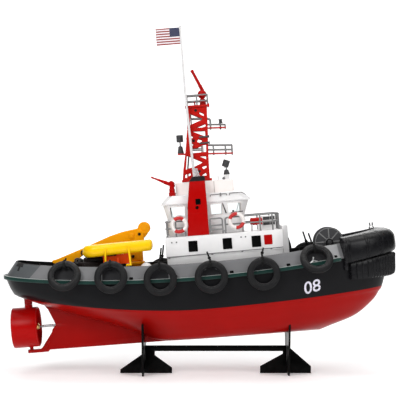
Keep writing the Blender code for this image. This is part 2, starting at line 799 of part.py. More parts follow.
def funnel(side):
    """A tapered funnel with its black cap and three exhaust pipes, flush with the house side."""
    outer, inner = HOUSE_HALF, FUNNEL_INNER
    foot = HOUSE_TOP + GAP

    def ring(x0, x1, z, out, inn):
        return [(x0, out, z), (x1, out, z), (x1, inn, z), (x0, inn, z)]

    body = loft([ring(-6.0, 29.0, foot, outer, inner),
                 ring(-2.2, 29.0, 221.0, outer - 1.0, inner),
                 ring(2.3, 28.0, 258.0, outer - 2.5, inner + 0.5),
                 ring(4.5, 27.8, 265.8, outer - 3.0, inner + 1.0)])
    pipes = [tube([(x, 42.0, 262.0), (x - 7.5, 42.0, 279.0)], 1.6, sides=8) for x in (12.0, 17.0, 22.0)]
    whole = joined([body] + pipes)
    return whole if side > 0 else mirrored(whole)


# Mast
def tower_x(z):
    """The aft and fore edges of the tower's side frames at one height."""
    t = (z - TOWER_LOW) / (TOWER_HIGH - TOWER_LOW)
    return -7.0 + 17.0 * t, 36.0 + 3.5 * t


def tower_half(z):
    t = (z - TOWER_LOW) / (TOWER_HIGH - TOWER_LOW)
    return 15.0 - 6.5 * t


TOWER_LEVELS = (263.0, 303.0, 329.0, 345.0, 374.0)
ZIGZAG = (
    # heights of the zigzag's ends, alternately on the aft and the fore leg
    (263.5, "aft"), (287.0, "fore"), (304.0, "aft"), (318.0, "fore"), (329.0, "aft"), (344.0, "fore"),
    (349.0, "aft"), (360.0, "fore"), (374.0, "aft"),
)


def tower_side():
    """One side frame in its own plane: x forward, z up, 2 thick."""
    parts = []
    aft_low, fore_low = tower_x(TOWER_LOW)
    aft_top, fore_top = tower_x(TOWER_HIGH)
    wide = 3.6
    parts.append(prism([(aft_low, TOWER_LOW), (aft_low + wide, TOWER_LOW), (aft_top + wide, TOWER_HIGH),
                        (aft_top, TOWER_HIGH)], "y", -1.0, 1.0))
    parts.append(prism([(fore_low - wide, TOWER_LOW), (fore_low, TOWER_LOW), (fore_top, TOWER_HIGH),
                        (fore_top - wide, TOWER_HIGH)], "y", -1.0, 1.0))
    for i in range(len(ZIGZAG) - 1):
        ends = []
        for z, leg in ZIGZAG[i:i + 2]:
            aft, fore = tower_x(z)
            ends.append((aft + wide / 2 if leg == "aft" else fore - wide / 2, z))
        parts.append(strip(ends[0], ends[1], 3.4, (-0.95, 0.95)))
    for z in TOWER_LEVELS:
        aft, fore = tower_x(z)
        parts.append(box((aft + 0.5, fore - 0.5), (-0.9, 0.9), (z - 1.6, z + 1.6)))
    gussets = (((21.0, 375.0), 8.5, 5.5), ((12.5, 326.0), 7.0, 9.0), ((20.0, 275.0), 7.5, 6.5))
    for (x, z), wide_x, high in gussets:
        parts.append(prism([(x - wide_x, z - high), (x + wide_x, z - high), (x + wide_x, z + high),
                            (x - wide_x, z + high)], "y", -0.85, 0.85))
    holes = [disc((x, z), 2.4, "y", -3.0, 3.0, sides=12) for (x, z), _w, _h in gussets]
    return cut(joined(parts), holes)


def mast_tower():
    """Two leaning side frames, cross bars, base flange and the platforms' decks."""
    low, high = tower_half(TOWER_LOW), tower_half(TOWER_HIGH)
    slope = math.atan((low - high) / (TOWER_HIGH - TOWER_LOW))
    frames = []
    for side in (-1, 1):
        frame = tower_side()
        frame.data.transform(Matrix.Translation(Vector((0, side * low, TOWER_LOW)) * MM)
                             @ Matrix.Rotation(side * slope, 4, "X")
                             @ Matrix.Translation(Vector((0, 0, -TOWER_LOW)) * MM))
        frames.append(frame)
    bars = []
    for z in (281.0, 303.0, 329.0, 345.0, 362.0):
        aft, fore = tower_x(z)
        half = tower_half(z)
        bars.append(box((aft + 0.6, aft + 3.0), (-half, half), (z - 1.5, z + 1.5)))
        bars.append(box((fore - 3.0, fore - 0.6), (-half, half), (z - 1.5, z + 1.5)))
    base = box((-11.5, 41.0), (-17.0, 17.0), (TOWER_LOW, TOWER_LOW + 3.2))
    decks = [
        box((6.5, 42.5), (-12.0, 12.0), (380.0, 383.2)),
        box((0.0, 69.0), (-9.5, 9.5), (343.4, 345.2)),
        box((-16.5, 76.5), (-12.0, 12.0), (303.2, 305.2)),
    ]
    mount = disc(TOP_MONITOR, 4.6, "z", 382.0, 388.0, sides=12)
    return joined([frames[0], frames[1], base, mount] + bars + decks)


def mast_rail(x0, x1, half, foot, heights, posts, aft_closed):
    """Rails round a small platform."""
    bars = []
    for z in heights:
        line = [(x0, -half, z), (x1, -half, z), (x1, half, z), (x0, half, z)]
        bars.append(line + ([(x0, -half, z)] if aft_closed else []))
    for x in posts:
        for y in (-half, half):
            bars.append([(x, y, foot), (x, y, heights[0])])
    return railing(bars, 0.85)


def flagpole():
    """The staff beside the mast with its flag flying aft."""
    staff = tube([(15.0, -20.0, CASING_TOP + GAP), (8.4, -20.0, 512.5)], 1.7, sides=8, radius_end=1.2)
    flag = prism([(9.1, 484.0), (-33.4, 484.0), (-33.1, 511.4), (8.6, 511.0)], "y", -20.4, -19.6)
    return joined([staff, flag])


# Fire monitors
def monitor_swivel(x, y, foot, lift, radius, mid_r):
    """The turning post of a monitor, with its round head."""
    top = lift - foot - 8.0
    profile = [(0.0, 0.0), (0.0, radius), (top * 0.3, radius), (top * 0.45, mid_r), (top, mid_r), (top, 0.0)]
    post = turned(profile, "z", (x, y, foot), steps=12)
    cheeks = [box((x - 3.2, x + 3.2), (y + s * 3.4 - 1.0, y + s * 3.4 + 1.0), (lift - 9.0, lift + 3.0))
              for s in (-1, 1)]
    return joined([post] + cheeks)


def monitor_barrel(x, y, lift, length, angle, thick):
    """The jet tube, drawn level pointing aft and then raised by angle in degrees."""
    breech = turned([(-4.5, 0.0), (-4.5, 1.8), (-2.0, 2.0), (2.0, 2.0), (5.0, 1.9), (5.0, 0.0)],
                    "x", (0, 0, 0), steps=10)
    path = [(0, 0, 0), (-length * 0.3, 0, 0), (-length, 0, 0)]
    jet = tube(path, thick, sides=8, radius_end=thick * 0.72)
    whole = joined([breech, jet])
    moved(whole, turn=(0, math.radians(angle), 0))
    return moved(whole, (x, y, lift))


# Deck gear
def crane_pedestal():
    stem = disc((CRANE_X, CRANE_Y), 9.5, "z", 100.0, 130.0, sides=16)
    plate = box((CRANE_X - 13.5, CRANE_X + 13.5), (CRANE_Y - 12.0, CRANE_Y + 12.0), (129.0, 133.6))
    return on_deck(joined([stem, plate]))


def crane_column():
    """The turning column: a box, two cheeks and the tall post that carries the boom."""
    low = 133.6 + GAP
    block = box((-106.0, -83.0), (CRANE_Y - 8.0, CRANE_Y + 8.0), (low, 152.0))
    outline = [(-104.0, 150.0), (-84.0, 150.0), (-79.0, 172.0), (-79.5, 181.0), (-84.0, 185.5),
               (-89.5, 185.0), (-93.0, 180.0)]
    cheeks = [prism(outline, "y", CRANE_Y + s * 6.8 - 1.2, CRANE_Y + s * 6.8 + 1.2) for s in (-1, 1)]
    pin = disc((-99.2, 142.5), 2.6, "y", CRANE_Y - 9.5, CRANE_Y + 9.5, sides=12)
    return joined([block, pin] + cheeks)


def crane_boom():
    """The folding boom, hinged between the cheeks and lying down aft."""
    outline = [(-72.0, 181.0), (-69.4, 187.5), (-72.0, 194.0), (-78.6, 197.0), (-86.0, 194.5),
               (-102.4, 188.0), (-182.6, 162.5), (-212.8, 152.2), (-233.8, 145.2), (-232.7, 141.8),
               (-212.0, 145.0), (-182.0, 152.5), (-110.0, 171.5), (-86.0, 171.5), (-78.0, 174.0)]
    beam = prism(outline, "y", CRANE_Y - 5.2, CRANE_Y + 5.2)
    pin = disc((LUFF_X, LUFF_Z), 2.2, "y", CRANE_Y - 9.6, CRANE_Y + 9.6, sides=12)
    return beam, pin


def towing_winch():
    """The anchor winch on the foredeck: side plates on a bed, and the drum between them."""
    deck = sheer(WINCH_X) + DECK_THICK
    half = 17.0
    shaft = 2.6
    bed = cut(box((WINCH_X - 17.0, WINCH_X + 17.0), (-22.0, 22.0), (deck + 1.6, deck + 4.6)),
              [box((WINCH_X - 12.5, WINCH_X + 12.5), (-18.2, 18.2), (deck, deck + 6.0))])
    plates = []
    for side in (-1, 1):
        outline = [(WINCH_X - 9.0, deck + 3.0), (WINCH_X + 9.0, deck + 3.0), (WINCH_X + 5.6, WINCH_Z + 3.0),
                   (WINCH_X, WINCH_Z + 6.2), (WINCH_X - 5.6, WINCH_Z + 3.0)]
        y = side * (half + 3.6)
        plates.append(prism(outline, "y", y - 1.2, y + 1.2))
    frame = cut(joined([bed] + plates), [disc((WINCH_X, WINCH_Z), shaft + GAP, "y", -40.0, 40.0, sides=12)])
    feet = [box((WINCH_X + a - 3.0, WINCH_X + a + 3.0), (b - 3.0, b + 3.0), (deck - 4.0, deck + 2.0))
            for a in (-14.0, 14.0) for b in (-19.5, 19.5)]
    frame = on_deck(joined([frame] + feet))
    core, end, inner = 10.0, half + 6.0, half - 2.0
    profile = [(-end, 0.0), (-end, shaft), (-half, shaft), (-half, DRUM_R), (-inner, DRUM_R), (-inner, core),
               (inner, core), (inner, DRUM_R), (half, DRUM_R), (half, shaft), (end, shaft), (end, 0.0)]
    drum = turned(profile, "y", (WINCH_X, 0.0, WINCH_Z), steps=24)
    return frame, drum


def bow_post():
    stem = disc((292.0, 0.0), 1.8, "z", 110.0, 160.0, sides=10)
    ball = turned([(-4.6, 0.0), (-3.6, 3.0), (0.0, 4.6), (3.6, 3.0), (4.6, 0.0)],
                  "z", (292.0, 0.0, 160.5), steps=12)
    horns = box((288.5, 295.5), (-1.4, 1.4), (164.0, 168.5))
    return on_deck(joined([stem, ball, horns]))


def towing_gear():
    """Towing hook block on the aft deck with its eye and capstan."""
    block = box((-180.0, -147.0), (-30.0, -6.0), (100.0, 140.0))
    head = box((-176.0, -150.0), (-27.0, -9.0), (139.0, 148.5))
    eye = turned([(-1.4, 2.2), (1.4, 2.2), (1.4, 4.6), (-1.4, 4.6)], "y", (-183.8, -18.0, 143.0), steps=14)
    foot = box((-184.0, -179.0), (-21.0, -15.0), (132.0, 139.8))
    return on_deck(joined([block, head, eye, foot]))


def rescue_boat():
    """Inflatable collar with its floor, the red hull under it and the lashed cradle."""
    y0, spread, radius, z = -39.0, 13.5, 8.7, 161.0
    path = [(-68.0, y0 - spread, z)]
    path += [(-155.0 - spread * math.sin(a), y0 - spread * math.cos(a), z)
             for a in [math.pi * i / 6 for i in range(7)]]
    path.append((-68.0, y0 + spread, z))
    collar = tube(path, radius, sides=12)
    floor = box((-156.0, -74.0), (y0 - spread, y0 + spread), (155.0, 158.0))
    ends = [turned([(0.0, 0.0), (0.0, radius), (2.5, radius * 0.8), (4.0, 0.0)], "x",
                   (-68.4, y0 + s * spread, z), steps=12) for s in (-1, 1)]
    collar = joined([collar, floor] + ends)
    top = 155.0 - GAP
    section = [(y0 - 6.0, top), (y0 + 6.0, top), (y0 + 11.0, 151.0), (y0 + 4.0, 134.0), (y0 - 4.0, 134.0),
               (y0 - 11.0, 151.0)]
    keel = prism(section, "x", -145.0, -102.0)
    beams = [box((x - 1.6, x + 1.6), (y0 - 16.0, y0 + 16.0), (100.0, 134.0 - GAP)) for x in (-140.0, -106.0)]
    tie = box((-140.0, -106.0), (y0 - 2.0, y0 + 2.0), (112.0, 118.0))
    cradle = on_deck(joined(beams + [tie]))
    return collar, keel, cradle


def searchlight(x, y, foot, lift, high, wide, pitch):
    """A lamp in a stirrup: turned base, neck and a round can."""
    base = turned([(0.0, 0.0), (0.0, wide * 0.9), (lift * 0.62, wide * 0.6), (lift * 0.68, 1.0),
                   (lift + 1.0, 1.0), (lift + 1.0, 0.0)], "z", (x, y, foot), steps=12)
    can = disc((0.0, 0.0), wide, "z", -high / 2, high / 2, sides=12)
    moved(can, turn=(0, math.radians(pitch), 0))
    moved(can, (x, y, foot + lift + high * 0.5))
    return joined([base, can])


def liferaft():
    z = 186.2
    return joined([disc((-20.0, z), 5.0, "x", 96.0, 114.0, sides=12),
                   box((98.0, 101.0), (-24.0, -16.0), (HOUSE_TOP + GAP, 184.0)),
                   box((109.0, 112.0), (-24.0, -16.0), (HOUSE_TOP + GAP, 184.0))])


# Stand, drawn in the display's frame
CRADLES = (
    # name, x, half width of the foot, half width across the arms, height of the arms
    ("aft", -92.5, 40.0, 60.0, 86.0),
    ("fore", 144.5, 32.0, 52.0, 93.0),
)
PLATE = 3.0
HALF_LAP_Z = 20.0               # height at which the crossed plates' slots meet
SLOT_PLAY = 0.2                 # clearance of a slot on each side of the plate in it


def stand_plate():
    """The long plate: a trapezoid foot at each end and the beam between them."""
    aft = [(-131.5, 0.0), (-46.0, 0.0), (-46.0, 9.0), (-74.5, 29.5), (-74.5, 36.3), (148.0, 36.3)]
    fore = [(148.0, 45.7), (-91.0, 45.7), (-94.0, 32.0), (-131.5, 6.0)]
    beam = prism(aft + fore, "y", -PLATE / 2, PLATE / 2)
    foot = prism([(99.0, 0.0), (183.0, 0.0), (183.0, 11.5), (148.0, 42.0), (136.5, 38.0), (136.5, 32.0),
                  (99.0, 11.5)], "y", -PLATE / 2, PLATE / 2)
    whole = joined([beam, foot])
    half = PLATE / 2 + SLOT_PLAY
    slots = [box((row[1] - half, row[1] + half), (-5.0, 5.0), (HALF_LAP_Z, 60.0)) for row in CRADLES]
    return cut(whole, slots)


def stand_cradle(x, foot_half, arm_half, arm_top, hull_tool):
    """One crosswise plate, cut to the hull's section and slotted over the long plate."""
    side = [(foot_half - 24.0, 12.0), (foot_half - 18.0, 0.0), (foot_half, 0.0), (arm_half, arm_top - 8.0),
            (arm_half - 3.0, arm_top)]
    outline = side + [(-y, z) for y, z in reversed(side)]
    plate = prism(outline, "x", x - PLATE / 2, x + PLATE / 2)
    half = PLATE / 2 + SLOT_PLAY
    slot = box((x - 5.0, x + 5.0), (-half, half), (-5.0, HALF_LAP_Z + GAP))
    return cut(plate, [hull_tool, slot])


def boat_matrix():
    return (Matrix.Translation(Vector((BOAT_SHIFT, 0.0, KEEL_HEIGHT)) * MM)
            @ Matrix.Rotation(-PITCH, 4, "Y"))


def hull_tool():
    """The hull with its clearance, in the stand's frame, to cut the cradles with."""
    tool = joined([hull_body(GAP + 0.1), skeg(4.1), box((-200.0, 200.0), (-4.1, 4.1), (-0.5, 8.0))])
    tool.data.transform(boat_matrix())
    return tool


def build():
    clear_scene()
    display = bpy.data.objects.new("display", None)
    boat = bpy.data.objects.new("boat", None)
    for empty in (display, boat):
        bpy.context.scene.collection.objects.link(empty)
    display.location.x = DISPLAY_SHIFT * MM
    boat.parent = display
    boat.matrix_basis = boat_matrix()

    finish(stand_plate(), "stand_plate", "stand_black", display)
    for name, x, foot_half, arm_half, arm_top in CRADLES:
        cradle = stand_cradle(x, foot_half, arm_half, arm_top, hull_tool())
        finish(cradle, f"stand_cradle_{name}", "stand_black", display)

    def on_boat(item, name, slot, origin=(0, 0, 0)):
        return finish(item, name, slot, boat, origin)

    on_boat(hull(), "hull", "hull_paint")
    on_boat(deck_and_bulwark(), "deck_and_bulwark", "bulwark_grey")
    on_boat(rub_rail(), "rub_rail", "rail_green")
    upper, lower = bow_fenders()
    on_boat(upper, "bow_fender_upper", "rubber")
    on_boat(lower, "bow_fender_lower", "rubber")
    for i, row in enumerate(TYRES):
        on_boat(tyre(*row), f"tyre_fender_port_{i + 1}", "rubber")
        on_boat(mirrored(tyre(*row)), f"tyre_fender_starboard_{i + 1}", "rubber")

    shaft_origin = (STOCK_X, 0.0, SHAFT_Z)
    on_boat(propeller(), "propeller", "brass", shaft_origin)
    on_boat(propeller_shaft(), "propeller_shaft", "steel", shaft_origin)
    on_boat(steering_nozzle(), "steering_nozzle", "red_plastic", shaft_origin)

    frame, drum = towing_winch()
    on_boat(frame, "winch_frame", "dark_metal")
    on_boat(drum, "winch_drum", "dark_metal", (WINCH_X, 0.0, WINCH_Z))
    on_boat(bow_post(), "bow_post", "rail_grey")
    on_boat(towing_gear(), "towing_gear", "dark_metal")

    slew_origin = (CRANE_X, CRANE_Y, 134.0)
    luff_origin = (LUFF_X, CRANE_Y, LUFF_Z)
    on_boat(crane_pedestal(), "crane_pedestal", "crane_yellow")
    beam, pin = crane_boom()
    column = cut(crane_column(), [disc((LUFF_X, LUFF_Z), 2.2 + GAP, "y", CRANE_Y - 12.0, CRANE_Y + 12.0,
                                       sides=12)])
    on_boat(column, "crane_column", "crane_yellow", slew_origin)
    on_boat(joined([beam, pin]), "crane_boom", "crane_yellow", luff_origin)

    collar, keel, cradle = rescue_boat()
    on_boat(collar, "rescue_boat_collar", "boat_yellow")
    on_boat(keel, "rescue_boat_hull", "orange_red")
    on_boat(cradle, "rescue_boat_cradle", "boat_yellow")

    on_boat(deckhouse(), "deckhouse", "white_plastic")
    on_boat(deckhouse_rail_fore(), "deckhouse_rail_fore", "rail_grey")
    on_boat(deckhouse_rail_aft(), "deckhouse_rail_aft", "rail_grey")
    on_boat(wheelhouse(), "wheelhouse", "white_plastic")
    on_boat(wheelhouse_glass(), "wheelhouse_glass", "glass")
    on_boat(wheelhouse_roof(), "wheelhouse_roof", "white_plastic")
    on_boat(liferaft(), "liferaft_canister", "red_plastic")
    for side, name in ((1, "port"), (-1, "starboard")):
        on_boat(funnel(side), f"funnel_{name}", "red_plastic")
        y = side * (RAIL_Y + 1.0 + 2.4 + GAP)
        on_boat(lifebuoy(-20.5, y), f"lifebuoy_aft_{name}", "buoy")
        on_boat(lifebuoy(73.0, y), f"lifebuoy_fore_{name}", "buoy")

    on_boat(mast_tower(), "mast_tower", "red_plastic")
    on_boat(mast_rail(8.0, 41.0, 11.0, 383.2 + GAP, (401.0, 393.0), (8.0, 25.0, 41.0), True),
            "mast_rail_top", "rail_grey")
    on_boat(mast_rail(42.0, 75.5, 11.0, 305.2 + GAP, (315.0, 310.0), (46.0, 66.0, 75.5), False),
            "mast_rail_mid", "rail_grey")
    on_boat(flagpole(), "flagpole", "white_plastic")

    x, y = TOP_MONITOR
    on_boat(monitor_swivel(x, y, 388.0 + GAP, TOP_MONITOR_Z, 5.0, 4.4), "monitor_top_post",
            "red_plastic", (x, y, 388.0))
    on_boat(monitor_barrel(x, y, TOP_MONITOR_Z, 43.0, 66.0, 1.7), "monitor_top_barrel",
            "red_plastic", (x, y, TOP_MONITOR_Z))
    for side, name in ((1, "port"), (-1, "starboard")):
        x, y = ROOF_MONITOR[0], side * ROOF_MONITOR[1]
        on_boat(monitor_swivel(x, y, ROOF_TOP + GAP, ROOF_MONITOR_Z, 5.6, 4.2), f"monitor_{name}_post",
                "red_plastic", (x, y, ROOF_TOP))
        on_boat(monitor_barrel(x, y, ROOF_MONITOR_Z, 36.0, 25.0, 1.6), f"monitor_{name}_barrel",
                "red_plastic", (x, y, ROOF_MONITOR_Z))
    on_boat(searchlight(-9.0, 0.0, 305.2 + GAP, 15.0, 12.0, 5.4, 0.0), "searchlight_mast", "dark_metal")
    on_boat(searchlight(65.0, 0.0, 265.7 + GAP, 9.0, 11.0, 4.8, 25.0), "searchlight_roof", "dark_metal")


build()
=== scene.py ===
# %% [markdown]
# # A model harbour tug on its display stand
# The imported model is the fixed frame. Each solid in it is either kept and repainted, or a
# finer piece stands in its place and rides on the same body.

import math

import bpy
from mathutils import Matrix, Vector


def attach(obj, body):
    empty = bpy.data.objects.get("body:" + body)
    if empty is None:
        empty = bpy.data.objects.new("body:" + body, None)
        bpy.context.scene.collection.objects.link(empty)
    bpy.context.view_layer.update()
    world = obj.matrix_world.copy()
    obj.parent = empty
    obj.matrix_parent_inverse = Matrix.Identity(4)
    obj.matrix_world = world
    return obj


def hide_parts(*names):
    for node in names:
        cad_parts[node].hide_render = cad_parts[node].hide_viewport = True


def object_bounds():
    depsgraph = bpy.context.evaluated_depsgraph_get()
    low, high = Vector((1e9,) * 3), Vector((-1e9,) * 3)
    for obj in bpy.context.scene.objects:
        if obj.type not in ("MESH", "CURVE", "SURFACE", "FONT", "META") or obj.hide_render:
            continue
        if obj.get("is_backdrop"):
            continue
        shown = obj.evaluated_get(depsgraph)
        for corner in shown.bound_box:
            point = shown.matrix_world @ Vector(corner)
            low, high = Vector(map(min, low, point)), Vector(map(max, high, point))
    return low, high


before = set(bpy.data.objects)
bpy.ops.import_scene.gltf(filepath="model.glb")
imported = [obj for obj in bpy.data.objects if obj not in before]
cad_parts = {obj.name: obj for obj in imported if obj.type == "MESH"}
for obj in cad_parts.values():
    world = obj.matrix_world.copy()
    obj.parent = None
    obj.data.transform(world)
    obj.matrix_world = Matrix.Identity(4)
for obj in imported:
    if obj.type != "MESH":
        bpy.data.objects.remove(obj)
cad_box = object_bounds()
print("CAD box in mm:", [[round(c * 1000, 1) for c in corner] for corner in cad_box])

# %% [markdown]
# ## Working level, in millimetres
# The boat sits 4.3 degrees bow up. A builder draws it level, from the keel, and tips it only
# when it is done. So every piece here is modelled in the boat's own level frame, where 1 unit
# is 1 mm: x forward, y to port, z up from the keel. One matrix then sets it on the stand.

# %% From the boat's frame to the world
MM = 0.001
PITCH = math.radians(4.3)
KEEL_AT = Vector((0.8, 0.0, 57.4))
STAND_SHIFT = 1.9

ON_STAND = (Matrix.Translation(KEEL_AT * MM) @ Matrix.Rotation(-PITCH, 4, "Y")
            @ Matrix.Scale(MM, 4))
STAND_FRAME = Matrix.Translation((STAND_SHIFT * MM, 0.0, 0.0)) @ Matrix.Scale(MM, 4)


def boat_point(x, y, z):
    """A point of the boat's frame in world metres."""
    return ON_STAND @ Vector((x, y, z))


print("bow tip in world mm:", [round(c * 1000, 1) for c in boat_point(320, 0, 126)])

# %% [markdown]
# ## Selecting one thing at a time
# An operator acts on all that is selected, and the imported nodes start out selected. This
# helper clears that first, so that each operator below touches one object only.

# %% Select one object


def only(item):
    """Selects and activates one object, after deselecting everything."""
    for other in list(bpy.context.selected_objects):
        other.select_set(False)
    item.hide_set(False)
    item.select_set(True)
    bpy.context.view_layer.objects.active = item
    return item


def apply_all(item):
    """Applies an object's modifiers from the top."""
    only(item)
    for change in list(item.modifiers):
        bpy.ops.object.modifier_apply(modifier=change.name)
    return item


for item in list(bpy.context.selected_objects):
    item.select_set(False)
print("selected now:", len(bpy.context.selected_objects))

# %% [markdown]
# ## Six ways of making a form
# Almost everything on a moulded model is one of these: a block with softened edges, a flat
# plate cut to an outline, a turned part, a bent round bar, a skin laid over sections, or a
# ring that follows a line. Each starts as a primitive or a drawn curve, is shaped by
# operators and modifiers, and ends as a mesh.

# %% Blocks


def block(x, y, z, round_edges=0.6, steps=3):
    """A cube added at its size and place, with rounded edges. Each argument is (low, high)."""
    size = [b - a for a, b in (x, y, z)]
    middle = [0.5 * (a + b) for a, b in (x, y, z)]
    bpy.ops.mesh.primitive_cube_add(size=1.0, location=middle, scale=size)
    item = bpy.context.object
    bpy.ops.object.transform_apply(location=True, rotation=True, scale=True)
    if round_edges:
        change = item.modifiers.new("edges", "BEVEL")
        change.width = min(round_edges, 0.45 * min(size))
        change.segments = steps
        apply_all(item)
    return item


# %% Plates cut to an outline


def to_mesh(item):
    """Turns a curve into a mesh and closes its seams."""
    only(item)
    bpy.ops.object.convert(target="MESH")
    item = bpy.context.object
    tidy_mesh(item)
    return item


def tidy_mesh(item, distance=0.003):
    """Merges doubled points and turns all faces outwards."""
    only(item)
    bpy.ops.object.mode_set(mode="EDIT")
    bpy.ops.mesh.select_all(action="SELECT")
    bpy.ops.mesh.remove_doubles(threshold=distance)
    bpy.ops.mesh.normals_make_consistent(inside=False)
    bpy.ops.object.mode_set(mode="OBJECT")
    return item


AXES = {
    # axis: the matrix that takes a plate drawn flat to its plane, thick along that axis
    "x": Matrix(((0, 0, 1, 0), (1, 0, 0, 0), (0, 1, 0, 0), (0, 0, 0, 1))),
    "y": Matrix(((1, 0, 0, 0), (0, 0, -1, 0), (0, 1, 0, 0), (0, 0, 0, 1))),
    "z": Matrix.Identity(4),
}


def plate(outline, axis, low, high, edge=0.3, holes=(), steps=2):
    """A filled flat curve with thickness along one axis, a rounded edge and any holes."""
    curve = bpy.data.curves.new("plate", "CURVE")
    curve.dimensions = "2D"
    curve.fill_mode = "BOTH"
    for ring in (outline,) + tuple(holes):
        spline = curve.splines.new("POLY")
        spline.points.add(len(ring) - 1)
        spline.use_cyclic_u = True
        for point, (a, b) in zip(spline.points, ring):
            point.co = (a, b, 0.0, 1.0)
    edge = min(edge, 0.45 * (high - low))
    curve.bevel_depth = edge
    curve.bevel_resolution = steps
    curve.offset = -edge
    curve.extrude = max(0.5 * (high - low) - edge, 0.0001)
    item = bpy.data.objects.new("plate", curve)
    bpy.context.scene.collection.objects.link(item)
    item = to_mesh(item)
    middle = 0.5 * (low + high)
    item.data.transform(AXES[axis])
    shift = {"x": (middle, 0, 0), "y": (0, middle, 0), "z": (0, 0, middle)}[axis]
    item.data.transform(Matrix.Translation(shift))
    return item


def arc(centre, radius, start, end, steps):
    """Points on an arc, angles in degrees."""
    return [(centre[0] + radius * math.cos(math.radians(start + (end - start) * i / steps)),
             centre[1] + radius * math.sin(math.radians(start + (end - start) * i / steps)))
            for i in range(steps + 1)]


def hole(centre, radius, steps=20):
    """A round opening for a plate."""
    return arc(centre, radius, 0, 360, steps)[:-1]


def rounded(points, radius, steps=4):
    """A closed outline with each corner rounded off."""
    result = []
    count = len(points)
    for i in range(count):
        here = Vector(points[i])
        back, on = Vector(points[i - 1]), Vector(points[(i + 1) % count])
        room = min(radius, 0.45 * (back - here).length, 0.45 * (on - here).length)
        start = here + (back - here).normalized() * room
        end = here + (on - here).normalized() * room
        for k in range(steps + 1):
            t = k / steps
            result.append(tuple(start * (1 - t) ** 2 + here * 2 * t * (1 - t) + end * t * t))
    return result


# %% Turned parts


def lathe(profile, axis, centre, steps=32):
    """A drawn half section of (along, radius) spun round an axis with the Screw modifier."""
    curve = bpy.data.curves.new("profile", "CURVE")
    curve.dimensions = "3D"
    spline = curve.splines.new("POLY")
    closed = profile[0][1] > 0
    spline.points.add(len(profile) - 1)
    spline.use_cyclic_u = closed
    for point, (along, radius) in zip(spline.points, profile):
        point.co = (max(radius, 0.0), 0.0, along, 1.0)
    item = bpy.data.objects.new("turned", curve)
    bpy.context.scene.collection.objects.link(item)
    only(item)
    bpy.ops.object.convert(target="MESH")
    item = bpy.context.object
    change = item.modifiers.new("spin", "SCREW")
    change.axis = "Z"
    change.steps = steps
    change.render_steps = steps
    change.use_merge_vertices = True
    change.merge_threshold = 0.001
    apply_all(item)
    tidy_mesh(item, 0.0005)
    if axis == "x":
        item.data.transform(Matrix.Rotation(math.radians(90), 4, "Y"))
    if axis == "y":
        item.data.transform(Matrix.Rotation(math.radians(-90), 4, "X"))
    item.data.transform(Matrix.Translation(centre))
    return item


def bulge(radius, steps=8):
    """Half section of a ball."""
    return [(radius * math.sin(math.radians(a)), radius * math.cos(math.radians(a)))
            for a in [-90 + 180 * i / steps for i in range(steps + 1)]]


# %% Bent bars


def bent(points, reach):
    """The same line of points with its corners rounded within reach."""
    path = [Vector(p) for p in points]
    result = [path[0]]
    for i in range(1, len(path) - 1):
        here, back, on = path[i], path[i - 1], path[i + 1]
        room = min(reach, 0.45 * (back - here).length, 0.45 * (on - here).length)
        start = here + (back - here).normalized() * room
        end = here + (on - here).normalized() * room
        result += [start * (1 - t) ** 2 + here * 2 * t * (1 - t) + end * t * t
                   for t in (0.0, 0.25, 0.5, 0.75, 1.0)]
    result.append(path[-1])
    return result


def bars(lines, radius, reach=2.0, sides=4, taper=None):
    """Round bars along lines of points: one curve with a round bevel, made a mesh."""
    curve = bpy.data.curves.new("bars", "CURVE")
    curve.dimensions = "3D"
    curve.bevel_depth = radius
    curve.bevel_resolution = sides
    curve.use_fill_caps = True
    for line in lines:
        path = bent(line, reach) if reach else [Vector(p) for p in line]
        spline = curve.splines.new("POLY")
        spline.points.add(len(path) - 1)
        for i, (point, place) in enumerate(zip(spline.points, path)):
            point.co = (*place, 1.0)
            if taper:
                point.radius = 1.0 + (taper - 1.0) * i / (len(path) - 1)
    item = bpy.data.objects.new("bars", curve)
    bpy.context.scene.collection.objects.link(item)
    return to_mesh(item)


# %% Skins over sections


def skin(rows, caps=False):
    """A grid primitive whose points are set on rows of sections. Points that meet are merged."""
    high, wide = len(rows), len(rows[0])
    bpy.ops.mesh.primitive_grid_add(x_subdivisions=wide - 1, y_subdivisions=high - 1, size=1.0)
    item = bpy.context.object
    item.data.vertices.foreach_set("co", [c for row in rows for p in row for c in p])
    item.data.update()
    tidy_mesh(item, 0.0005)
    if caps:
        only(item)
        bpy.ops.object.mode_set(mode="EDIT")
        bpy.ops.mesh.select_all(action="SELECT")
        bpy.ops.mesh.fill_holes(sides=0)
        bpy.ops.mesh.normals_make_consistent(inside=False)
        bpy.ops.object.mode_set(mode="OBJECT")
    return item


def smooth_rows(rows, steps):
    """More rows between the given ones, on smooth curves through their points."""
    result = []
    for i in range(len(rows) - 1):
        before, low = rows[max(i - 1, 0)], rows[i]
        high, after = rows[i + 1], rows[min(i + 2, len(rows) - 1)]
        for k in range(steps):
            t = k / steps
            line = []
            for a, b, c, d in zip(before, low, high, after):
                line.append(tuple(0.5 * (2 * q + (r - p) * t + (2 * p - 5 * q + 4 * r - w) * t * t
                                         + (3 * q - p - 3 * r + w) * t ** 3)
                                  for p, q, r, w in zip(a, b, c, d)))
            result.append(line)
    result.append([tuple(p) for p in rows[-1]])
    return result


# %% Copies of frame nodes


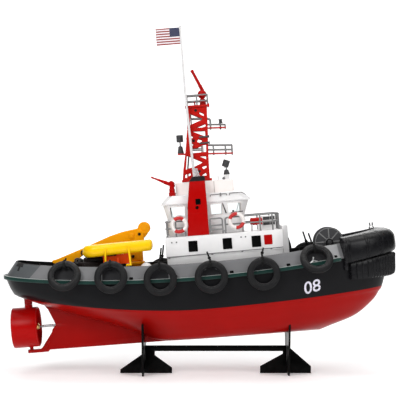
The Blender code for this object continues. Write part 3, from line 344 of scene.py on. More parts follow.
def node_copy(name, edge_mm, steps=2, angle=30.0):
    """A copy of a CAD node's mesh, merged, freed of flat seams and softened at its edges."""
    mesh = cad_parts[name].data.copy()
    item = bpy.data.objects.new("copy", mesh)
    bpy.context.scene.collection.objects.link(item)
    only(item)
    bpy.ops.object.mode_set(mode="EDIT")
    bpy.ops.mesh.select_all(action="SELECT")
    bpy.ops.mesh.remove_doubles(threshold=0.00001)
    bpy.ops.mesh.customdata_custom_splitnormals_clear()
    bpy.ops.mesh.dissolve_limited(angle_limit=math.radians(1.0))
    bpy.ops.object.mode_set(mode="OBJECT")
    mesh.materials.clear()
    if edge_mm:
        change = item.modifiers.new("edges", "BEVEL")
        change.width = edge_mm * MM
        change.segments = steps
        change.limit_method = "ANGLE"
        change.angle_limit = math.radians(angle)
        change.use_clamp_overlap = True
        apply_all(item)
    item["placed"] = True
    return item


# %% Bring parts together as one finished piece


def paint(item, *materials):
    """Gives an object its materials, the first of them on all its faces."""
    item.data.materials.clear()
    for one in materials:
        item.data.materials.append(one)
    return item


def copy_of(item, matrix=None):
    """A copy with its own mesh, moved by a matrix in the boat's frame."""
    twin = item.copy()
    twin.data = item.data.copy()
    bpy.context.scene.collection.objects.link(twin)
    if matrix is not None:
        twin.data.transform(matrix)
        if matrix.determinant() < 0:
            twin.data.flip_normals()
    return twin


MIRROR = Matrix.Diagonal((1, -1, 1, 1))


def finish(parts, name, body="boat", nodes=(), smooth=35.0, place=None):
    """Joins parts, sets them on the stand, smooths them and lets them ride on a body."""
    parts = parts if isinstance(parts, (list, tuple)) else [parts]
    for part in parts:
        if not part.get("placed"):
            part.data.transform(ON_STAND if place is None else place)
    only(parts[0])
    for part in parts[1:]:
        part.select_set(True)
    if len(parts) > 1:
        bpy.ops.object.join()
    item = bpy.context.object
    item.name = name
    item.data.name = name
    only(item)
    bpy.ops.object.shade_smooth_by_angle(angle=math.radians(smooth))
    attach(item, body)
    if nodes:
        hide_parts(*nodes)
    return item


def faces_where(item, test):
    """Numbers of the faces whose centre and normal pass a test."""
    return [f.index for f in item.data.polygons if test(f.center, f.normal)]


def repaint(item, index, test):
    """Gives the faces that pass a test another of the object's materials."""
    for number in faces_where(item, test):
        item.data.polygons[number].material_index = index
    return item


print("helpers ready")

# %% [markdown]
# ## Finishes
# The real model is moulded plastic with a little paint. Moulded plastic is never a flat
# colour: the skin has a fine ripple, its gloss wanders, dust settles on what faces up, and
# edges wear lighter. Each of those effects is one node group, built once, that puts out only
# a value or a mask. Every material then mixes them with its own numbers.

# %% Node helpers


def node(tree, kind, **values):
    """Adds a node. A keyword sets a property, or a socket where it starts with in_."""
    made = tree.nodes.new(kind)
    for key, value in values.items():
        if not key.startswith("in_"):
            setattr(made, key, value)
            continue
        name = key[3:]
        made.inputs[int(name) if name.isdigit() else name.replace("_", " ")].default_value = value
    return made


def wire(tree, *pairs):
    """Links output sockets to input sockets."""
    for start, end in pairs:
        tree.links.new(start, end)


def group(name, inputs, outputs):
    """An empty shader node group with named sockets: (name, kind, default value)."""
    made = bpy.data.node_groups.new(name, "ShaderNodeTree")
    for label, kind, value in inputs:
        socket = made.interface.new_socket(name=label, in_out="INPUT", socket_type=kind)
        if value is not None:
            socket.default_value = value
    for label, kind in outputs:
        made.interface.new_socket(name=label, in_out="OUTPUT", socket_type=kind)
    return made, made.nodes.new("NodeGroupInput"), made.nodes.new("NodeGroupOutput")


VALUE, VECTOR, COLOUR = "NodeSocketFloat", "NodeSocketVector", "NodeSocketColor"

# %% [markdown]
# ### The moulded skin
# A polished mould still leaves a faint orange peel in the plastic, about a millimetre across,
# and a slower change of gloss over a few centimetres. Two noises give both.

# %% Group: moulded skin
skin_group, start, end = group(
    "moulded_skin",
    [("Where", VECTOR, None), ("Peel size", VALUE, 900.0), ("Roughness", VALUE, 0.35),
     ("Gloss drift", VALUE, 0.08)],
    [("Height", VALUE), ("Roughness", VALUE), ("Drift", VALUE)])
peel = node(skin_group, "ShaderNodeTexNoise", in_Detail=2.0, in_Roughness=0.5)
drift = node(skin_group, "ShaderNodeTexNoise", in_Scale=28.0, in_Detail=3.0, in_Roughness=0.55)
centred = node(skin_group, "ShaderNodeMath", operation="SUBTRACT", in_1=0.5)
spread = node(skin_group, "ShaderNodeMath", operation="MULTIPLY")
total = node(skin_group, "ShaderNodeMath", operation="ADD", use_clamp=True)
wire(skin_group,
     (start.outputs["Where"], peel.inputs["Vector"]),
     (start.outputs["Peel size"], peel.inputs["Scale"]),
     (start.outputs["Where"], drift.inputs["Vector"]),
     (drift.outputs["Fac"], centred.inputs[0]),
     (centred.outputs[0], spread.inputs[0]),
     (start.outputs["Gloss drift"], spread.inputs[1]),
     (spread.outputs[0], total.inputs[0]),
     (start.outputs["Roughness"], total.inputs[1]),
     (peel.outputs["Fac"], end.inputs["Height"]),
     (total.outputs[0], end.inputs["Roughness"]),
     (drift.outputs["Fac"], end.inputs["Drift"]))
print("group:", skin_group.name)

# %% [markdown]
# ### Dust
# Dust settles where a surface faces up. The third part of the normal says how much it does,
# and a noise breaks the film up, so that it doesn't look sprayed on.

# %% Group: settled dust
dust_group, start, end = group(
    "settled_dust",
    [("Where", VECTOR, None), ("Facing", VECTOR, None), ("Amount", VALUE, 0.15)],
    [("Mask", VALUE)])
parts = node(dust_group, "ShaderNodeSeparateXYZ")
upward = node(dust_group, "ShaderNodeMapRange", in_1=0.35, in_2=1.0)
speck = node(dust_group, "ShaderNodeTexNoise", in_Scale=260.0, in_Detail=5.0, in_Roughness=0.7)
broken = node(dust_group, "ShaderNodeMapRange", in_1=0.35, in_2=0.7)
film = node(dust_group, "ShaderNodeMath", operation="MULTIPLY")
thin = node(dust_group, "ShaderNodeMath", operation="MULTIPLY", use_clamp=True)
wire(dust_group,
     (start.outputs["Facing"], parts.inputs[0]),
     (parts.outputs["Z"], upward.inputs[0]),
     (start.outputs["Where"], speck.inputs["Vector"]),
     (speck.outputs["Fac"], broken.inputs[0]),
     (upward.outputs[0], film.inputs[0]),
     (broken.outputs[0], film.inputs[1]),
     (film.outputs[0], thin.inputs[0]),
     (start.outputs["Amount"], thin.inputs[1]),
     (thin.outputs[0], end.inputs["Mask"]))
print("group:", dust_group.name)

# %% [markdown]
# ### Rubbed edges
# Handling polishes and lightens the edges. Geometry's Pointiness is high on a sharp edge of a
# mesh that has a few faces across the edge, which the bevels here provide.

# %% Group: rubbed edges
edge_group, start, end = group(
    "rubbed_edges",
    [("Where", VECTOR, None), ("Pointiness", VALUE, 0.5), ("Amount", VALUE, 0.3)],
    [("Mask", VALUE)])
sharp = node(edge_group, "ShaderNodeMapRange", in_1=0.53, in_2=0.62)
patch = node(edge_group, "ShaderNodeTexNoise", in_Scale=140.0, in_Detail=4.0, in_Roughness=0.65)
worn = node(edge_group, "ShaderNodeMapRange", in_1=0.38, in_2=0.62)
both = node(edge_group, "ShaderNodeMath", operation="MULTIPLY")
much = node(edge_group, "ShaderNodeMath", operation="MULTIPLY", use_clamp=True)
wire(edge_group,
     (start.outputs["Pointiness"], sharp.inputs[0]),
     (start.outputs["Where"], patch.inputs["Vector"]),
     (patch.outputs["Fac"], worn.inputs[0]),
     (sharp.outputs[0], both.inputs[0]),
     (worn.outputs[0], both.inputs[1]),
     (both.outputs[0], much.inputs[0]),
     (start.outputs["Amount"], much.inputs[1]),
     (much.outputs[0], end.inputs["Mask"]))
print("group:", edge_group.name)

# %% [markdown]
# ### Hairline scuffs
# Wiping a glossy surface leaves short fine marks in every direction. A noise stretched along
# one axis, cut to its peaks, gives a few of them, and they only change the roughness.

# %% Group: hairline scuffs
scuff_group, start, end = group(
    "hairline_scuffs", [("Where", VECTOR, None), ("Amount", VALUE, 0.2)], [("Mask", VALUE)])
stretch = node(scuff_group, "ShaderNodeMapping", in_Rotation=(0.3, 0.5, 0.2), in_Scale=(60.0, 900.0, 900.0))
marks = node(scuff_group, "ShaderNodeTexNoise", in_Scale=1.0, in_Detail=3.0, in_Roughness=0.6)
peaks = node(scuff_group, "ShaderNodeMapRange", in_1=0.6, in_2=0.72)
faint = node(scuff_group, "ShaderNodeMath", operation="MULTIPLY", use_clamp=True)
wire(scuff_group,
     (start.outputs["Where"], stretch.inputs["Vector"]),
     (stretch.outputs[0], marks.inputs["Vector"]),
     (marks.outputs["Fac"], peaks.inputs[0]),
     (peaks.outputs[0], faint.inputs[0]),
     (start.outputs["Amount"], faint.inputs[1]),
     (faint.outputs[0], end.inputs["Mask"]))
print("group:", scuff_group.name)

# %% [markdown]
# ## One recipe, many plastics
# Nearly every finish on the boat is the same recipe with other numbers: a base colour that
# drifts a little, the moulded skin, dust, rubbed edges and scuffs. The recipe is a function,
# and the numbers stand in a table.

# %% The recipe


def use(tree, shared, **values):
    """Places a shared group in a material with its own values."""
    made = tree.nodes.new("ShaderNodeGroup")
    made.node_tree = shared
    for key, value in values.items():
        made.inputs[key.replace("_", " ")].default_value = value
    return made


def mixed(tree, mask, one, other):
    """A colour mix by a mask. Each colour is a socket or a value."""
    made = node(tree, "ShaderNodeMix", data_type="RGBA")
    for place, value in ((6, one), (7, other)):
        if hasattr(value, "links"):
            tree.links.new(value, made.inputs[place])
        else:
            made.inputs[place].default_value = (*value[:3], 1.0)
    tree.links.new(mask, made.inputs[0])
    return made.outputs[2]


def shade(colour, factor):
    return tuple(min(c * factor, 1.0) for c in colour)


def moulded(name, colour, roughness, peel=900.0, bump=0.06, drift=0.10, dust=0.12, wear=0.25,
            scuffs=0.10, metallic=0.0, coat=0.0, specular=0.5):
    """A moulded or painted finish from the shared groups."""
    made = bpy.data.materials.new(name)
    made.use_nodes = True
    tree = made.node_tree
    shader = tree.nodes["Principled BSDF"]
    place = node(tree, "ShaderNodeTexCoord").outputs["Object"]
    shape = node(tree, "ShaderNodeNewGeometry")
    surface = use(tree, skin_group, Peel_size=peel, Roughness=roughness, Gloss_drift=drift)
    film = use(tree, dust_group, Amount=dust)
    edges = use(tree, edge_group, Amount=wear)
    lines = use(tree, scuff_group, Amount=scuffs)
    for one in (surface, film, edges, lines):
        tree.links.new(place, one.inputs["Where"])
    tree.links.new(shape.outputs["Normal"], film.inputs["Facing"])
    tree.links.new(shape.outputs["Pointiness"], edges.inputs["Pointiness"])
    base = mixed(tree, surface.outputs["Drift"], shade(colour, 0.9), shade(colour, 1.1))
    base = mixed(tree, edges.outputs["Mask"], base, [0.65 * c + 0.25 for c in colour])
    base = mixed(tree, film.outputs["Mask"], base, (0.5, 0.48, 0.45))
    rough = node(tree, "ShaderNodeMath", operation="ADD", use_clamp=True)
    more = node(tree, "ShaderNodeMath", operation="MULTIPLY_ADD", in_1=0.5)
    ripple = node(tree, "ShaderNodeBump", in_Strength=bump, in_Distance=0.0004)
    wire(tree,
         (film.outputs["Mask"], more.inputs[0]),
         (lines.outputs["Mask"], more.inputs[2]),
         (surface.outputs["Roughness"], rough.inputs[0]),
         (more.outputs[0], rough.inputs[1]),
         (surface.outputs["Height"], ripple.inputs["Height"]),
         (base, shader.inputs["Base Color"]),
         (rough.outputs[0], shader.inputs["Roughness"]),
         (ripple.outputs[0], shader.inputs["Normal"]))
    shader.inputs["Metallic"].default_value = metallic
    shader.inputs["Coat Weight"].default_value = coat
    shader.inputs["Coat Roughness"].default_value = 0.08
    shader.inputs["Specular IOR Level"].default_value = specular
    made.diffuse_color = (*colour, 1.0)
    return made


# %% The finishes
FINISHES = {
    # name: (colour, roughness, the numbers that differ from the recipe's)
    "hull_red": ((0.31, 0.002, 0.001), 0.3, dict(dust=0.02, wear=0.1, specular=0.1)),
    "hull_black": ((0.006, 0.006, 0.007), 0.3, dict(dust=0.01, wear=0.05, specular=0.1)),
    # The bulwark's outer face is one grey in three copies; this darker one is painted shade at the stern corner.
    "bulwark_painted_shade": ((0.080, 0.086, 0.090), 0.34, dict(dust=0.03, specular=0.2)),
    "bulwark_side": ((0.16, 0.16, 0.165), 0.34, dict(dust=0.03, specular=0.2)),
    # The paler copy of the bulwark grey is painted highlight on a panel near the bow.
    "bulwark_painted_highlight": ((0.28, 0.28, 0.285), 0.36, dict(dust=0.05, specular=0.2)),
    # A darker grey for the bulwark round each tyre: painted shadow of the tyre.
    "rubber_marks": ((0.020, 0.020, 0.022), 0.5, dict(specular=0.1)),
    "deck_black": ((0.010, 0.010, 0.011), 0.55, dict(peel=1800.0, bump=0.35, dust=0.15, specular=0.15)),
    "rail_green": ((0.006, 0.032, 0.026), 0.36, dict(dust=0.05, specular=0.2)),
    "rail_line": ((0.30, 0.33, 0.32), 0.4, {}),
    "white": ((0.80, 0.79, 0.79), 0.3, dict(dust=0.04, wear=0.0, bump=0.03, specular=0.4)),
    # White darkened as painted shade, for the casing's sides and the window frames; the same colour also paints the aft
    # door and the pale highlight plate on the rescue hull.
    "white_painted_shade": ((0.90, 0.84, 0.81), 0.4, dict(dust=0.03, wear=0.0)),
    "signal_red": ((0.39, 0.0005, 0.0003), 0.3, dict(dust=0.02, wear=0.05, specular=0.1)),
    "mast_red": ((0.44, 0.009, 0.006), 0.3, dict(dust=0.02, wear=0.1, specular=0.12)),
    "crane_orange": ((0.92, 0.37, 0.002), 0.3, dict(dust=0.02, wear=0.05, specular=0.12)),
    "collar_yellow": ((0.97, 0.56, 0.002), 0.26, dict(dust=0.02, wear=0.0, specular=0.2)),
    "boat_orange": ((0.95, 0.085, 0.01), 0.32, dict(dust=0.02, specular=0.12)),
    "gear_black": ((0.008, 0.008, 0.009), 0.4, dict(dust=0.04, wear=0.15, specular=0.12)),
    "gear_brown": ((0.016, 0.009, 0.008), 0.4, dict(dust=0.03, wear=0.1, specular=0.15)),
    "gear_grey": ((0.050, 0.050, 0.053), 0.42, dict(dust=0.05, wear=0.2, specular=0.25)),
    "rail_paint": ((0.19, 0.19, 0.19), 0.38, dict(dust=0.05, wear=0.2, peel=1500.0, specular=0.3)),
    "pipe_silver": ((0.62, 0.62, 0.62), 0.28, dict(metallic=0.9, wear=0.1)),
    "window_black": ((0.002, 0.002, 0.002), 0.2, dict(dust=0.0, wear=0.0, specular=0.08)),
    "stand_black": ((0.0015, 0.0015, 0.0015), 0.3, dict(dust=0.01, wear=0.05, specular=0.05)),
    "ledge_grey": ((0.13, 0.13, 0.135), 0.45, {}),
    "staff_white": ((0.70, 0.69, 0.69), 0.4, dict(dust=0.02, wear=0.0)),
    "staff_grey": ((0.60, 0.56, 0.54), 0.4, dict(dust=0.02, wear=0.0)),
    "digit_white": ((0.70, 0.68, 0.78), 0.45, dict(dust=0.0, wear=0.0)),
    "buoy_white": ((0.80, 0.76, 0.74), 0.4, dict(dust=0.04, wear=0.0)),
    "buoy_red": ((0.47, 0.004, 0.003), 0.4, dict(dust=0.04, wear=0.0)),
    "shaft_steel": ((0.36, 0.36, 0.37), 0.24, dict(metallic=1.0, peel=2500.0, wear=0.0, dust=0.0)),
    "cast_brass": ((0.66, 0.42, 0.16), 0.26, dict(metallic=1.0, peel=1200.0, bump=0.12, wear=0.1, dust=0.0)),
}
FINISH = {name: moulded(name, colour, rough, **extra) for name, (colour, rough, extra) in FINISHES.items()}
print(len(FINISH), "finishes from one recipe")

# %% [markdown]
# ### Rubber
# Tyre rubber is dull, with a fine pebble and a grey bloom. It has no gloss to drift, so it
# gets a recipe of its own: a pebbled bump, and a noise that mixes the bloom in.

# %% Rubber


def rubber(name, colour, bloom, roughness, pebble, bump, specular=0.2):
    made = bpy.data.materials.new(name)
    made.use_nodes = True
    tree = made.node_tree
    shader = tree.nodes["Principled BSDF"]
    place = node(tree, "ShaderNodeTexCoord").outputs["Object"]
    shape = node(tree, "ShaderNodeNewGeometry")
    grains = node(tree, "ShaderNodeTexVoronoi", in_Scale=pebble)
    cloud = node(tree, "ShaderNodeTexNoise", in_Scale=70.0, in_Detail=6.0, in_Roughness=0.65)
    amount = node(tree, "ShaderNodeMapRange", in_1=0.4, in_2=0.75)
    film = use(tree, dust_group, Amount=0.25)
    edges = use(tree, edge_group, Amount=0.5)
    relief = node(tree, "ShaderNodeBump", in_Strength=bump, in_Distance=0.0005)
    gloss = node(tree, "ShaderNodeMapRange", in_3=roughness - 0.08, in_4=roughness + 0.1)
    wire(tree,
         (place, grains.inputs["Vector"]), (place, cloud.inputs["Vector"]),
         (place, film.inputs["Where"]), (place, edges.inputs["Where"]),
         (shape.outputs["Normal"], film.inputs["Facing"]),
         (shape.outputs["Pointiness"], edges.inputs["Pointiness"]),
         (cloud.outputs["Fac"], amount.inputs[0]),
         (cloud.outputs["Fac"], gloss.inputs[0]),
         (grains.outputs["Distance"], relief.inputs["Height"]),
         (gloss.outputs[0], shader.inputs["Roughness"]),
         (relief.outputs[0], shader.inputs["Normal"]))
    shader.inputs["Specular IOR Level"].default_value = specular
    base = mixed(tree, amount.outputs[0], colour, bloom)
    base = mixed(tree, edges.outputs["Mask"], base, shade(bloom, 1.8))
    base = mixed(tree, film.outputs["Mask"], base, (0.3, 0.29, 0.28))
    tree.links.new(base, shader.inputs["Base Color"])
    made.diffuse_color = (*colour, 1.0)
    return made


FINISH["tyre_rubber"] = rubber("tyre_rubber", (0.009, 0.009, 0.010), (0.015, 0.015, 0.015), 0.5, 1500.0, 0.25, 0.12)
FINISH["bow_rubber"] = rubber("bow_rubber", (0.006, 0.006, 0.007), (0.009, 0.009, 0.010), 0.26, 2200.0, 0.06, 0.16)
FINISH["rope_black"] = rubber("rope_black", (0.005, 0.005, 0.005), (0.012, 0.012, 0.012), 0.7, 4000.0, 0.6, 0.1)
print("rubbers:", [n for n in FINISH if "rubber" in n or "rope" in n])

# %% [markdown]
# ## The hull
# The real hull is one moulded shell. A shipwright fixes it by waterlines: level slices, each
# with its own ends, breadth and curve. The table holds eight of them, from the flat of the
# keel up to the deck edge. Rows between them follow smooth curves, so that the skin has no
# knuckles, and the paint changes from red to black exactly on the sixth row.

# %% Waterlines
HALF_BEAM = 72.0
STERN_X, STEM_X = -309.5, 320.0
AFT_ROUND, FORE_ROUND = 118.0, 210.0
AFT_POWER, FORE_POWER = 2.6, 2.2
SHEER_MID, SHEER_RISE, SHEER_SPAN = 103.0, 23.5, 313.0

HULL_ROWS = (
    # z at mid, rise aft, rise fore, power of the rise, x aft, x fore, half breadth,
    # length rounded aft, length rounded fore, power aft, power fore
    (0.0, 0.0, 0.0, 2.0, -58.0, 200.0, 7.0, 50.0, 60.0, 2.0, 2.0),
    (5.0, 2.0, 3.0, 2.0, -76.0, 220.0, 46.0, 100.0, 130.0, 1.7, 1.6),
    (16.0, 10.0, 6.0, 2.0, -100.0, 260.0, 62.0, 150.0, 190.0, 1.6, 1.6),
    (32.0, 28.0, 12.0, 2.0, -152.0, 290.0, 68.5, 200.0, 220.0, 1.7, 1.7),
    (45.0, 32.0, 12.0, 1.6, -226.0, 301.0, 70.5, 240.0, 225.0, 1.9, 1.8),
    (53.5, 42.0, 11.8, 1.6, -289.0, 307.0, 71.5, 220.0, 225.0, 2.2, 1.9),
    (80.0, 24.0, 14.0, 2.0, -301.0, 315.5, 72.0, 140.0, 215.0, 2.5, 2.1),
    (SHEER_MID, SHEER_RISE, SHEER_RISE, 2.0, STERN_X, STEM_X, HALF_BEAM,
     AFT_ROUND, FORE_ROUND, AFT_POWER, FORE_POWER),
)
PAINT_ROW = 5


def sheer(x):
    """Height of the deck edge."""
    return SHEER_MID + SHEER_RISE * (x / SHEER_SPAN) ** 2


def end_curve(reach, power, steps):
    """A quarter of a superellipse as (along, share of the breadth)."""
    return [(reach * math.sin(0.5 * math.pi * i / steps) ** (2 / power) if i else 0.0,
             math.cos(0.5 * math.pi * i / steps) ** (2 / power) if i < steps else 0.0)
            for i in range(steps + 1)]


def waterline(x_aft, x_fore, half, aft_round, fore_round, aft_power, fore_power, steps):
    """One side of a waterline from the stern's tip to the stem's tip."""
    aft = [(x_aft + aft_round - a, half * c) for a, c in end_curve(aft_round, aft_power, steps[0])]
    fore = [(x_fore - fore_round + a, half * c) for a, c in end_curve(fore_round, fore_power, steps[2])]
    low, high = aft[0][0], fore[0][0]
    middle = [(low + (high - low) * i / steps[1], half) for i in range(1, steps[1])]
    return aft[::-1] + middle + fore


FINE = (22, 20, 26)


def deck_line(steps=FINE):
    return waterline(STERN_X, STEM_X, HALF_BEAM, AFT_ROUND, FORE_ROUND, AFT_POWER, FORE_POWER, steps)


def half_at(x):
    """Half breadth of the deck edge."""
    if x < STERN_X + AFT_ROUND:
        t, power = (STERN_X + AFT_ROUND - x) / AFT_ROUND, AFT_POWER
    elif x > STEM_X - FORE_ROUND:
        t, power = (x - STEM_X + FORE_ROUND) / FORE_ROUND, FORE_POWER
    else:
        return HALF_BEAM
    return HALF_BEAM * max(0.0, 1 - min(t, 1.0) ** power) ** (1 / power)


def ringed(side):
    """One side's points closed round the other side, back to the first point."""
    return side + [(x, -y, z) for x, y, z in side[-2::-1]]


print("deck edge amidships and at the stem:", sheer(0), round(sheer(STEM_X), 1))

# %% Hull skin
ROWS_BETWEEN = 6
sections = []
for low, aft, fore, power, x_aft, x_fore, half, r_aft, r_fore, n_aft, n_fore in HULL_ROWS:
    side = waterline(x_aft, x_fore, half, r_aft, r_fore, n_aft, n_fore, FINE)
    sections.append(ringed([(x, y, low + (aft if x < 0 else fore) * (abs(x) / SHEER_SPAN) ** power)
                            for x, y in side]))
hull_rows = smooth_rows(sections, ROWS_BETWEEN)
paint_line = {round(p[0], 2): p[2] for p in hull_rows[PAINT_ROW * ROWS_BETWEEN]}
shell = skin(hull_rows, caps=True)
paint(shell, FINISH["hull_red"], FINISH["hull_black"])


def above_paint_line(centre, _normal):
    """True above the sixth row, whose rise is the table's."""
    x, z = centre.x, centre.z
    low, aft, fore, power = HULL_ROWS[PAINT_ROW][:4]
    return z > low + (aft if x < 0 else fore) * (abs(x) / SHEER_SPAN) ** power


repaint(shell, 1, above_paint_line)
print("hull skin:", len(shell.data.polygons), "faces")

# %% [markdown]
# Under the shell sit the keel fin with its heel arm, the swelling for the shaft and the trunk
# that the nozzle turns in. They are one moulding with the shell, so they join it in one piece.

# %% Keel fin, shaft swelling and trunk
SHAFT_Z = 39.4
STOCK_X = -277.0
SKEG = (
    # x, z of the fin, its heel arm and the sternpost
    (-283.0, -3.2), (-249.5, -3.2), (-246.5, 0.0), (-40.0, 0.0), (-40.0, 14.0), (-120.0, 46.0),
    (-200.0, 76.0), (-248.0, 82.0), (-251.0, 74.0), (-245.0, 66.0), (-234.2, 40.5),
    (-240.2, 33.0), (-241.5, 28.5), (-260.5, 2.2), (-283.0, 2.2),
)
fin = plate(SKEG, "y", -3.6, 3.6, edge=1.2, steps=3)
bar = block((-45.0, 200.0), (-3.6, 3.6), (-0.02, 8.0), 1.0)
swelling = lathe([(-234.4, 2.5), (-234.4, 4.0), (-233.6, 4.6), (-222.0, 4.0), (-205.0, 2.8), (-205.0, 2.5)],
                 "x", (0, 0, SHAFT_Z), 40)
trunk = lathe([(76.6, 0.0), (76.6, 5.9), (77.2, 6.5), (92.0, 6.5), (92.0, 0.0)], "z", (STOCK_X, 0, 0), 40)
heel = lathe([(-1.9, 0.0), (-1.9, 5.0), (-1.3, 5.6), (1.7, 5.6), (2.2, 5.1), (2.2, 0.0)],
             "z", (STOCK_X, 0, 0), 32)
web = plate([(-282.0, -3.2), (-256.0, -3.2), (-252.0, 3.0), (-246.0, 14.0), (-262.0, 2.2), (-282.0, 2.2)],
            "y", -4.4, 4.4, edge=0.8)
under = [paint(p, FINISH["hull_red"]) for p in (fin, bar, swelling, trunk, heel, web)]
finish([shell] + under, "hull_moulding", nodes=["hull"], smooth=40)

# %% [markdown]
# ## Deck and bulwark
# A bulwark is the low wall round the deck. It leans inboard, more so towards the ends, which
# sheds water and keeps it clear of a ship's side. It is swept here as a section whose lean
# grows along the way: outer face, rounded cap, inner face, then the deck itself.

# %% The tray
GAP = 0.35
DECK_THICK = 2.2
BULWARK_HIGH = 24.5
WALL = 2.2


def lean(x):
    """How far the bulwark's top stands inboard of its foot."""
    return 5.0 + (0.00018 if x > 0 else 0.000145) * x * x


def with_normals(line):
    """Adds the outward normal to each point of one side's plan line."""
    last = len(line) - 1
    result = []
    for i, (x, y) in enumerate(line):
        ax, ay = line[max(i - 1, 0)]
        bx, by = line[min(i + 1, last)]
        size = math.hypot(bx - ax, by - ay)
        nx, ny = -(by - ay) / size, (bx - ax) / size
        if i == 0:
            nx, ny = -1.0, 0.0
        if i == last:
            nx, ny = 1.0, 0.0
        result.append((x, y, nx, ny))
    return result


tray_rows = [[(x, 0.0, sheer(x) + GAP) for x, y in deck_line()]]
WALL_POINTS = (
    # (share of the lean, extra inset, height)
    (0.0, 0.0, GAP), (0.25, 0.0, 6.1), (0.5, 0.0, 12.2), (0.75, 0.0, 18.4), (0.97, 0.0, 23.8),
    (1.0, 0.25, 24.35), (1.0, 0.8, BULWARK_HIGH), (1.0, WALL - 0.7, BULWARK_HIGH),
    (1.0, WALL - 0.2, 24.3), (0.95, WALL, 23.2), (0.5, WALL, 12.2), (0.09, WALL, DECK_THICK),
)
for share, inset, up in WALL_POINTS:
    row = []
    for x, y, nx, ny in with_normals(deck_line()):
        reach = share * lean(x) + inset
        row.append((x - nx * reach, max(y - ny * reach, 0.0), sheer(x) + up))
    tray_rows.append(row)
tray_rows.append([(x, 0.0, z) for x, _y, z in tray_rows[-1]])
tray = skin([ringed(row) for row in tray_rows])
# This plane marks where the stern corner's painted shade begins; the cut along it only adds edges for the paint.
PAINTED_SHADE_PLANE = Vector((-267.3, 0.0, 119.0)), Vector((1.0, 0.0, -0.98))
bpy.ops.object.mode_set(mode="EDIT")
bpy.ops.mesh.select_all(action="SELECT")
bpy.ops.mesh.bisect(plane_co=PAINTED_SHADE_PLANE[0], plane_no=PAINTED_SHADE_PLANE[1])
bpy.ops.object.mode_set(mode="OBJECT")
paint(tray, *[FINISH[n] for n in ("deck_black", "bulwark_painted_shade", "bulwark_side", "bulwark_painted_highlight", "rubber_marks")])
TYRES = (
    # x, height of the centre, lean of its top inboard in degrees, tip of its lashing (x, z)
    (-205.5, 123.3, 31.0, -203.0, 150.5),
    (-132.0, 115.7, 16.0, -136.0, 140.0),
    (-54.0, 106.8, 3.0, -49.5, 155.5),
    (27.0, 104.6, 12.0, 23.0, 144.0),
    (110.0, 103.6, 6.0, 113.5, 143.5),
    (195.0, 120.4, 35.0, 187.8, 161.0),
)


def outer_wall(centre, normal):
    """True on the outside of the bulwark."""
    edge = half_at(centre.x) if STERN_X < centre.x < STEM_X else 0.0
    up = centre.z - sheer(centre.x)
    inset = lean(centre.x) * up / BULWARK_HIGH
    outward = normal.y * centre.y + (normal.x * centre.x if abs(centre.x) > 200 else 0.0)
    return 0.3 < up < 24.4 and outward > 0 and (abs(centre.y) > edge - inset - 1.6 or abs(centre.x) > 285)


# The outer wall is painted the darker grey, then the plain grey forward of the plane, so the stern corner keeps the
# darker grey as painted shade.
repaint(tray, 1, outer_wall)
repaint(tray, 2, lambda c, n: outer_wall(c, n) and (c - PAINTED_SHADE_PLANE[0]).dot(PAINTED_SHADE_PLANE[1]) > 0)
# The panel from x 208 to 236 gets the paler grey as painted highlight.
repaint(tray, 3, lambda c, n: outer_wall(c, n) and 208.0 < c.x < 236.0)
# Faces round each tyre get a darker grey as painted shadow of the tyre.
repaint(tray, 4, lambda c, n: outer_wall(c, n) and any(math.hypot(c.x - t[0], c.z - t[1]) < 19.5 for t in TYRES))
print("tray:", len(tray.data.polygons), "faces")

# %% [markdown]
# Freeing ports are slots at the foot of the bulwark that let water off the deck. The photograph
# shows dark ones, so each is a thin dark plate with rounded corners set in the wall. Inside,
# small stays hold the wall up. Round each tyre the bulwark gets painted shadow of the tyre.

# %% Freeing ports and stays


def on_wall(x, up, out=0.0):
    """A point on the outer face of the port bulwark."""
    return Vector((x, half_at(x) - lean(x) * up / BULWARK_HIGH + out, sheer(x) + up))


def wall_frame(x, up):
    """A matrix that sets a plate, drawn in x and z, on the outer face of the port bulwark."""
    along = (on_wall(x + 1.0, up) - on_wall(x - 1.0, up)).normalized()
    rise = on_wall(x, up + 1.0) - on_wall(x, up - 1.0)
    rise = (rise - along * rise.dot(along)).normalized()
    out = along.cross(rise) * -1.0
    turn = Matrix((along, out, rise)).transposed().to_4x4()
    return Matrix.Translation(on_wall(x, up)) @ turn


def on_both_sides(item):
    return [item, copy_of(item, MIRROR)]


ports = []
for x, width in ((-100.5, 6.0), (-30.0, 6.0), (60.0, 6.0), (151.0, 6.0), (228.5, 5.0)):
    slot = plate(rounded([(-width / 2, -2.2), (width / 2, -2.2), (width / 2, 2.2), (-width / 2, 2.2)], 1.2),
                 "y", -0.6, 0.25, edge=0.2)
    slot.data.transform(wall_frame(x, 5.4))
    ports += on_both_sides(paint(slot, FINISH["window_black"]))
stays = []
for x in range(-260, 261, 40):
    half = half_at(x)
    foot = half - WALL - lean(x) * 0.09
    top = half - WALL - lean(x) * 0.95
    stay = plate([(foot - 9.0, sheer(x) + 2.0), (foot + 0.3, sheer(x) + 2.0), (top + 0.5, sheer(x) + 22.0),
                  (top - 1.6, sheer(x) + 22.0)], "x", x - 0.6, x + 0.6, edge=0.2)
    stays += on_both_sides(paint(stay, FINISH["deck_black"]))
dome = lathe([(0.0, 0.0), (0.0, 10.0), (17.0, 10.0), (20.5, 9.6), (24.0, 8.0), (26.8, 5.0), (28.2, 2.2),
              (28.5, 0.0)], "z", (-76.0, -52.0, sheer(-76.0) + 1.0), 40)
collar_ring = lathe([(14.5, 9.9), (14.5, 10.5), (15.5, 10.5), (15.5, 9.9)], "z",
                    (-76.0, -52.0, sheer(-76.0) + 1.0), 40)
vents = [paint(dome, FINISH["white"]), paint(collar_ring, FINISH["gear_grey"])]
